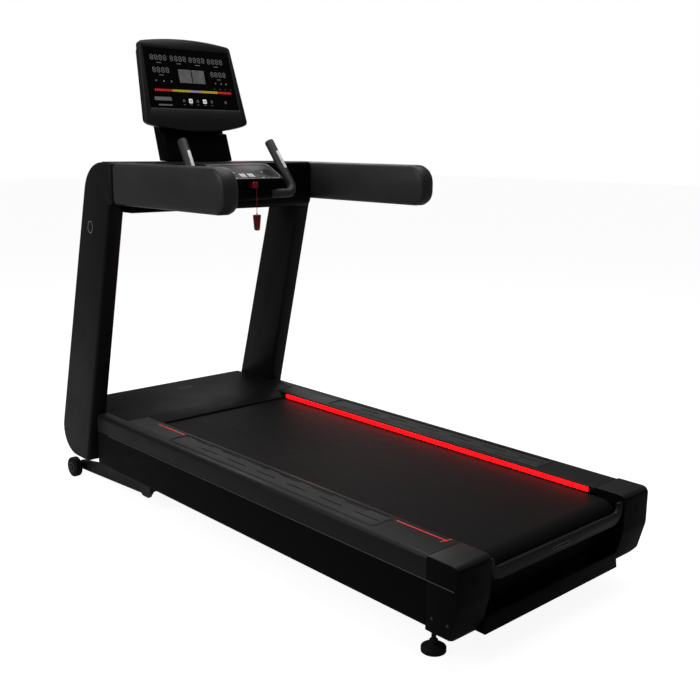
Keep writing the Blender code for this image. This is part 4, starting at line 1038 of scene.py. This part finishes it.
def touch_keys():
    """Touch fields: square icons with a mark in each, small arrows and the lamps beside them."""
    lit = [on_screen(across, ICON_DOWN) for across in LIT_ICONS]
    icon = tile(0.0165, 0.0165, GRAPHIC_RISE, 0.002)
    repeat(icon, lit, "lit_touch_icons", ICON_WHITE)
    marks = [on_screen(across, ICON_DOWN, GRAPHIC_RISE) for across in LIT_ICONS]
    mark = ring_mark(0.0042, 0.0022, GRAPHIC_RISE)
    repeat(mark, marks, "touch_icon_marks", SCREEN_BLACK)
    dim = [on_screen(across, ICON_DOWN) for across in DIM_ICONS]
    mark = ring_mark(0.0050, 0.0036, GRAPHIC_RISE)
    repeat(mark, dim, "dim_touch_icons", DIM_WHITE)
    names = [on_screen(across, ICON_DOWN + 0.062) for across in sorted(LIT_ICONS + DIM_ICONS[:3])]
    legend = tile(0.0085, 0.0013, GRAPHIC_RISE, 0.0004)
    repeat(legend, names, "touch_icon_legends", DIM_WHITE)
    arrows = []
    for row in (ARROWS_LEFT, ARROWS_RIGHT):
        for index, (across, down) in enumerate(row):
            turn = Matrix.Rotation(math.radians((90, 0, -90)[index]), 4, "Z")
            arrows.append(on_screen(across, down) @ turn)
    repeat(arrow_mark(0.0042, GRAPHIC_RISE), arrows, "touch_arrows", DIM_WHITE)
    panels = [on_screen(*spot) for spot in LOWER_PANELS]
    field = tile(0.074, 0.0135, GRAPHIC_RISE, 0.003)
    repeat(field, panels[:1], "lower_field", FIELD_GREY)
    strip = tile(0.060, 0.0050, GRAPHIC_RISE, 0.002)
    repeat(strip, panels[1:], "lower_field_strip", FIELD_GREY)
    lamps = [on_screen(across, GREEN_DOWN) for across in GREEN_LAMPS]
    lamp = tile(0.0042, 0.0028, GRAPHIC_RISE, 0.001)
    repeat(lamp, lamps, "green_lamps", LAMP_GREEN)


def ring_mark(outer, inner, thick):
    """A flat ring: a disc inset and opened through its middle."""
    return opened(disc(16, outer), outer - inner, thick)


def arrow_mark(size, thick):
    """A small triangle that points along local Y."""
    piece = disc(3, size)
    bpy.ops.mesh.bevel(offset=size * 0.12, segments=2, affect="VERTICES")
    take_all()
    raise_up(thick)
    return close_up(piece)


# ---- rails ----
def flat_on(x, distance, height, turn=0.0):
    """A level frame at this place, with X across the machine and Y along it, turned about Z."""
    return Matrix.Translation((x, at(distance), height)) @ Matrix.Rotation(turn, 4, "Z")


def foot_pads():
    """The raised pads to stand on, with two staggered rows of ribs."""
    top = high("rail_cover_left").z
    length = PAD_AT[1] - PAD_AT[0]
    middle = sum(PAD_AT) / 2
    width = PAD_X[1] - PAD_X[0]
    for side_name, side in SIDES:
        pad = start_piece(width, length, 0.012, 4)
        raise_up(PAD_RISE)
        round_edges(PAD_RISE * 0.5, 2)
        close_up(pad)
        pick_faces(pad, lambda centre, normal: normal.z > 0.9)
        inset(0.006, 0)
        inset(0.0008, -0.0005)
        done()
        pad.data.transform(flat_on(side * sum(PAD_X) / 2, middle, top))
        settle(pad, "foot_pad_" + side_name, PAD_RUBBER)
        rows = []
        for row, x in enumerate(RIB_ROWS):
            for index in range(RIB_COUNT):
                distance = RIB_FIRST_AT - RIB_PITCH * (index + row / 2)
                rows.append(flat_on(side * x, distance, top + PAD_RISE - 0.0004))
        repeat(ridge(RIB_LENGTH, 0.005, 0.0020), rows, "foot_ribs_" + side_name, SHELL)


def rail_lights():
    """Lit strip faces along the belt, and the thin lit lines at both ends of the left pad."""
    for side_name, side in SIDES:
        node = "led_strip_" + side_name
        # The strip's other faces take the darker shell copy: painted shade.
        strip = refined(node, SIDE_SHELL_PAINTED_SHADE)
        strip.data.materials.append(LIT_RED)
        for face in strip.data.polygons:
            face.material_index = 1 if face.normal.x * side < -0.9 else 0
    top = high("rail_cover_left").z
    for index, (first, last) in enumerate(LINE_SPANS):
        bar = tile(LINE_WIDTH, last - first, 0.0008, 0.0005)
        spot = flat_on(-LINE_X, (first + last) / 2, top)
        repeat(bar, [spot], "marker_line_%d" % (index + 1), LINE_RED)
    tick = tile(TICK_LENGTH, LINE_WIDTH, 0.0008, 0.0005)
    spot = flat_on(-LINE_X, LINE_SPANS[0][0] + 0.004, top, math.radians(-16))
    repeat(tick, [spot], "marker_tick", LINE_RED)


def side_trims():
    """A thin bright strip in the seam between each rail cover and its side panel."""
    height = low("rail_cover_left").z
    for side_name, side in SIDES:
        first, last = TRIM_SPAN
        strip = tile(last - first, 0.0022, 0.0007, 0.0008)
        place = (side * high("side_panel_right").x, at((first + last) / 2), height)
        face = facing_out(place, side)
        repeat(strip, [face], "side_trim_" + side_name, TRIM_GREY)


def running_surface():
    """The belt with smooth wraps, and its slanted bonded joint."""
    refined("running_belt", BELT_COVER, 0.0006, 1, 30)
    joint = tile(0.0016, 0.62, 0.0003, 0.0006)
    turn = math.radians(73)
    spot = flat_on(0, BELT_JOINT_AT, high("running_belt").z, turn)
    repeat(joint, [spot], "belt_joint", BELT_JOINT)


# ---- hood and rear end ----
def hood_details():
    """The hood's ring, front vents, side seams and screws."""
    top = high("motor_hood").z
    badge = oval_ring(0.062, 0.020, 0.0006, 0.0025)
    repeat(badge, [flat_on(*HOOD_BADGE_AT, top)], "hood_badge", TRIM_GREY)
    nose = high("motor_hood").y
    slots = []
    for index in range(VENT_COUNT):
        for side in (-1, 1):
            x = side * (VENT_FIRST_X + VENT_PITCH * index)
            slots.append(frame_at((x, nose - 0.0012, VENT_HEIGHT), (0, 0, 1), (0, 1, 0)))
    slot_pattern = oval_ring(0.052, 0.010, 0.0012, 0.0016)
    repeat(slot_pattern, slots, "hood_vent_rims", SHELL)
    # Dark fills inside the vent rims stand for the shade in the openings: painted shade.
    fills = [place @ Matrix.Translation((0, 0, 0.0002)) for place in slots]
    repeat(tile(0.050, 0.008, 0.0008, 0.0039), fills, "hood_vent_painted_shade", DARK_GAP)
    first, last = HOOD_SEAM_SPAN
    seams = [flat_on(side * HOOD_SEAM_X, (first + last) / 2, top - 0.0002) for side in (-1, 1)]
    seam = tile(0.0012, last - first, 0.0004, 0.0004)
    repeat(seam, seams, "hood_seams", DARK_GAP)
    screws = [flat_on(side * x, s, top - 0.0006) for side in (-1, 1) for x, s in HOOD_SCREWS]
    repeat(socket_screw(0.0048, 0.0022), screws, "hood_screws", BLACK_STEEL)


def rear_details():
    """The belt adjusters' openings, the ring on the rear bar and the caps' side screws."""
    rear = low("rear_cap_left").y
    caps = []
    for side in (-1, 1):
        caps.append(facing_rear((side * ADJUSTER_X, rear + 0.0012, ADJUSTER_HEIGHT)))
    rims = oval_ring(0.020, 0.020, 0.0012, 0.0022)
    repeat(rims, caps, "adjuster_rims", SHELL)
    repeat(socket_screw(0.0062, 0.0010), caps, "adjuster_screws", BLACK_STEEL)
    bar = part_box("rear_bar")
    middle = (0, bar[0][1], bar[0][2] + 0.018)
    ring_at = facing_rear(middle)
    ring = oval_ring(0.080, 0.011, 0.0007, 0.0014)
    repeat(ring, [ring_at], "rear_bar_badge", TRIM_GREY)
    side_screws = []
    for side in (-1, 1):
        x = side * high("side_panel_right").x
        for distance in SIDE_SCREW_AT:
            place = (x, at(distance), SIDE_SCREW_HEIGHT)
            side_screws.append(facing_out(place, side))
    repeat(socket_screw(0.0045, 0.0018), side_screws, "cap_side_screws", BLACK_STEEL)


def rear_skirt():
    """The dark closing plate under the rear roller, the two ears beside it and the shelf's ends."""
    shelf_top = high("rear_shelf").z + 0.001
    width = 2 * high("rear_shelf").x - 0.004
    height = low("running_belt").z - SKIRT_GAP - shelf_top
    roller_at = (low("rear_roller").y + high("rear_roller").y) / 2
    # The skirt, ears and shelf ends take the darker shell copy: painted shade.
    plate = tile(width, height, 0.0015, 0.001)
    place = (0, roller_at, shelf_top + height / 2)
    repeat(plate, [facing_rear(place)], "rear_skirt", SIDE_SHELL_PAINTED_SHADE)
    ears = []
    height = low("running_deck").z - SKIRT_GAP - shelf_top
    for side in (-1, 1):
        place = (side * EAR_X, low("running_deck").y - 0.004, shelf_top + height / 2)
        ears.append(facing_rear(place))
    repeat(tile(0.008, height, 0.0015, 0.0006), ears, "rear_ears", SIDE_SHELL_PAINTED_SHADE)
    ends = []
    for side in (-1, 1):
        corner = low("rear_shelf")
        place = (side * SHELF_END_X, corner.y + 0.058, corner.z + 0.0235)
        ends.append(frame_at(place, (0, 1, 0), (-side, 0, 0)))
    repeat(tile(0.096, 0.038, 0.0010, 0.001), ends, "shelf_ends", SIDE_SHELL_PAINTED_SHADE)


# ---- console ----
def on_pod(x, along, lift=0.0):
    """A frame on the pod's sloping face, with X across and Y up the slope from its rear edge."""
    rear = Vector((x, at(POD_FACE_REAR[0]), POD_FACE_REAR[1]))
    front = Vector((x, at(POD_FACE_FRONT[0]), POD_FACE_FRONT[1]))
    slope = (front - rear).normalized()
    up = Vector((1, 0, 0)).cross(slope)
    return frame_at(rear + slope * along + up * lift, (1, 0, 0), up)


def pod_details():
    """The key pad's rim (a painted highlight along its edge), dark dishes (painted shade), dashes, red
    line, and the frames and signs of its keys.
    """
    pod = refined("control_pod", POD_FACE, 0.0015, 2)
    pod.data.materials.append(CONSOLE_SHELL)
    for face in pod.data.polygons:
        face.material_index = 0 if face.normal.z > 0.8 else 1
    depth = math.dist(POD_FACE_REAR, POD_FACE_FRONT)
    width = 2 * high("control_pod").x - 0.008
    # A light grey rim round the key pad face: painted highlight along its rounded edge.
    rim = hoop(width, depth - 0.004, 0.0010, 0.0020, POD_CORNER, 10)
    repeat(rim, [on_pod(0, depth / 2)], "pod_painted_rim_highlight", GREY_BADGE_AND_PAINTED_RIM_HIGHLIGHT)
    # The dishes are wholly dark, standing for the shade in the recesses: painted shade.
    dishes = [on_pod(side * DISH_AT[0], DISH_AT[1]) for side in (-1, 1)]
    dish = start_piece(2 * DISH_RADIUS, 2 * DISH_RADIUS, DISH_RADIUS * 0.98, 10)
    raise_up(0.0012)
    inset(0.0014, 0)
    inset(0.0030, -0.0008)
    close_up(dish)
    repeat(dish, dishes, "pod_dishes", DARK_GAP)
    dashes = [on_pod(x, along) for x, along in POD_DASHES]
    repeat(tile(0.012, 0.0016, 0.0003, 0.0006), dashes, "pod_dashes", ICON_WHITE)
    line = tile(POD_LINE[1] - POD_LINE[0], 0.0034, 0.0008, 0.0008)
    middle = sum(POD_LINE) / 2
    repeat(line, [on_pod(middle, depth - 0.0018)], "pod_red_line", LINE_RED)
    for node in ("start_button", "stop_button"):
        x = middle_x(node)
        frame_ring = hoop(*KEY_FRAME, 0.0005, 0.0026, 0.003, 4)
        repeat(frame_ring, [on_pod(x, KEY_ALONG)], node + "_frame", KEY_WHITE)
    x = middle_x("start_button")
    face = KEY_STANDS + 0.0001
    sign = arrow_mark(0.0046, 0.0003)
    repeat(sign, [on_pod(x, KEY_ALONG, face)], "start_sign", DARK_GAP, "start_button")
    x = middle_x("stop_button")
    sign = tile(0.0064, 0.0064, 0.0003, 0.0008)
    repeat(sign, [on_pod(x, KEY_ALONG, face)], "stop_sign", DARK_GAP, "stop_button")


def magnet_key():
    """The key's rounded body with a finger groove."""
    first, last = low("safety_key"), high("safety_key")
    top = last.z - first.z
    body = start_piece(KEY_WIDTH, last.y - first.y - 0.002, 0.007, 6)
    raise_up(top)
    round_edges(0.0035, 4)
    close_up(body)
    pick_faces(body, lambda centre, normal: normal.y < -0.9995)
    inset(0.0022, 0)
    inset(0.0012, -0.0012)
    done()
    place = Matrix.Translation((KEY_X, (first.y + last.y) / 2, first.z))
    body = repeat(body, [place], "safety_key_body", KEY_RED, "safety_key")
    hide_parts("safety_key")


def sensor_strips():
    """Rounded strips on the side of each pulse grip, made bright by a painted reflection."""
    for side_name, side in SIDES:
        node = "pulse_sensor_" + side_name
        first, last = low(node), high(node)
        lean = Vector((side * GRIP_LEAN[0], GRIP_LEAN[1], GRIP_LEAN[2])).normalized()
        middle = (first + last) / 2
        strip = tile(SENSOR_WIDTH, SENSOR_LENGTH, 0.0030, SENSOR_WIDTH * 0.42, 0.0010, 6)
        outward = Vector((0, -1, 0)) - lean * Vector((0, -1, 0)).dot(lean)
        outward.normalize()
        place = frame_at(middle - outward * 0.0015, outward.cross(lean) * -1, outward)
        piece = repeat(strip, [place], node + "_plate", SENSOR_PAINTED_REFLECTION)
        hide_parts(node)


def tray_mats():
    """Ribbed rubber mats in the console trays."""
    floor = high("console_beam").z - TRAY_DROP
    middle = (TRAY_FIRST + TRAY_LAST) / 2
    for side_name, side in SIDES:
        x = side * (TRAY_SPAN[0] + TRAY_SPAN[1]) / 2
        width = TRAY_SPAN[1] - TRAY_SPAN[0] - 0.008
        depth = TRAY_LAST - TRAY_FIRST - 0.008
        mat = tile(width, depth, 0.0018, 0.008, 0.0006, 5)
        repeat(mat, [flat_on(x, middle, floor)], "tray_mat_" + side_name, RUBBER)
        rows = []
        for index in range(TRAY_RIBS):
            shift = (index - (TRAY_RIBS - 1) / 2) * (width - 0.016) / (TRAY_RIBS - 1)
            rows.append(flat_on(x + shift, middle, floor + 0.0016))
        rib = ridge(depth - 0.016, 0.0030, 0.0012)
        repeat(rib, rows, "tray_ribs_" + side_name, RUBBER)


# ---- display back, uprights, wheels and feet ----
def facing(node, start, heading):
    """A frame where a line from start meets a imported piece, square to its face there."""
    mesh = frame["nodes"][node].data
    corners = [vertex.co for vertex in mesh.vertices]
    tree = BVHTree.FromPolygons(corners, [face.vertices for face in mesh.polygons])
    spot, normal = tree.ray_cast(Vector(start), Vector(heading))[:2]
    if normal.dot(Vector(heading)) > 0:
        normal = -normal
    return frame_at(spot, (1, 0, 0), normal)


def display_back_details():
    """Cooling slots and screws on the display's back, and screws on the mast."""
    slots = []
    for height in BACK_VENT_ROWS:
        for index in range(BACK_VENT_COUNT):
            x = (index - (BACK_VENT_COUNT - 1) / 2) * BACK_VENT_PITCH
            slots.append(facing("display_back", (x, 1.2, height), (0, -1, 0)))
    rims = [place @ Matrix.Rotation(math.pi / 2, 4, "Z") for place in slots]
    rim = oval_ring(0.030, 0.0062, 0.0008, 0.0010)
    repeat(rim, rims, "back_vent_rims", CONSOLE_SHELL)
    # A dark fill inside each rim stands for the shade in the slot: painted shade.
    vent = tile(0.0285, 0.0046, 0.0003, 0.0022)
    repeat(vent, rims, "back_vent_painted_shade", DARK_GAP)
    screws = []
    for x in (-BACK_SCREW_X, BACK_SCREW_X):
        for height in BACK_SCREW_HEIGHTS:
            screws.append(facing("display_back", (x, 1.2, height), (0, -1, 0)))
    for x in (-MAST_SCREW_X, MAST_SCREW_X):
        for height in MAST_SCREW_HEIGHTS:
            screws.append(facing("display_mast", (x, 1.2, height), (0, -1, 0)))
    repeat(socket_screw(0.0042, 0.0016), screws, "back_screws", BLACK_STEEL)


def upright_badges():
    """A plain raised oval ring on the outer face of each upright."""
    thick = 0.0008
    for side_name, side in SIDES:
        place = (side * (high("upright_right").x - thick), at(BADGE_AT[0]), BADGE_AT[1])
        face = frame_at(place, (0, -0.26, 1), (side, 0, 0))
        ring = oval_ring(0.044, 0.034, thick + 0.00005, 0.0026)
        repeat(ring, [face], "upright_badge_" + side_name, GREY_BADGE_AND_PAINTED_RIM_HIGHLIGHT)


def wheel_hubs():
    """A hub ring and an axle screw on each lift wheel's outer face."""
    for side_name, side in SIDES:
        node = "lift_wheel_" + side_name
        first, last = low(node), high(node)
        outer = last.x if side > 0 else first.x
        middle = (outer, (first.y + last.y) / 2, (first.z + last.z) / 2)
        face = facing_out(middle, side)
        repeat(ring_mark(*HUB_RING, 0.0012), [face], node + "_ring", CAST, node)
        screw = socket_screw(*HUB_SCREW)
        repeat(screw, [face], node + "_screw", BLACK_STEEL, node)


def foot_nuts():
    """A hexagonal lock nut on the stem of each levelling foot."""
    for side_name, _ in SIDES:
        node = "levelling_foot_" + side_name
        first, last = low(node), high(node)
        stem = Matrix.Translation(((first.x + last.x) / 2, (first.y + last.y) / 2, NUT_HEIGHT))
        nut = disc(6, NUT_RADIUS)
        raise_up(NUT_THICK)
        round_edges(0.0010, 2)
        close_up(nut)
        repeat(nut, [stem], "foot_nut_" + side_name, BLACK_STEEL, "foot_" + side_name)


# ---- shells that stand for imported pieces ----
SOFTENED = {
    "rail_cover": 0.0015,
    "side_panel": 0.0008,
    "rear_cap": 0.0025,
    "handrail": 0.004,
    "upright": 0.004,
    "pulse_grip": 0.0015,
    "lift_wheel": 0.0025,
    "levelling_foot": 0.0012,
}
SOFTENED_SINGLE = {
    "motor_hood": 0.004,
    "hood_lip": 0.0012,
    "console_beam": 0.003,
    "grip_mount": 0.003,
    "display_bezel": 0.002,
    "display_back": 0.003,
    "display_mast": 0.002,
    "display_screen": 0.0,
    "rear_bar": 0.0015,
    "rear_shelf": 0.0008,
    "lift_frame": 0.0008,
    "start_button": 0.0008,
    "stop_button": 0.0008,
}


def soften_shells():
    for stem, radius in SOFTENED.items():
        for side in ("left", "right"):
            node = stem + "_" + side
            refined(node, finish_for(node), radius, 3)
    # Rear cap tops take the lighter shell and their sides keep the darker copy: painted light and
    # shade by which way each face turns.
    for side in ("left", "right"):
        cap = bpy.data.objects["rear_cap_" + side + "_skin"]
        cap.data.materials.append(SHELL)
        for face in cap.data.polygons:
            face.material_index = 1 if face.normal.z > 0.6 else 0
    for node, radius in SOFTENED_SINGLE.items():
        refined(node, finish_for(node), radius, 2)


set_camera()
set_studio()
dress_packed_pieces()
lanyard()
soften_shells()
digit_blocks()
matrix_field()
load_bar()
touch_keys()
foot_pads()
rail_lights()
side_trims()
running_surface()
hood_details()
rear_details()
rear_skirt()
pod_details()
magnet_key()
sensor_strips()
tray_mats()
display_back_details()
upright_badges()
wheel_hubs()
foot_nuts()
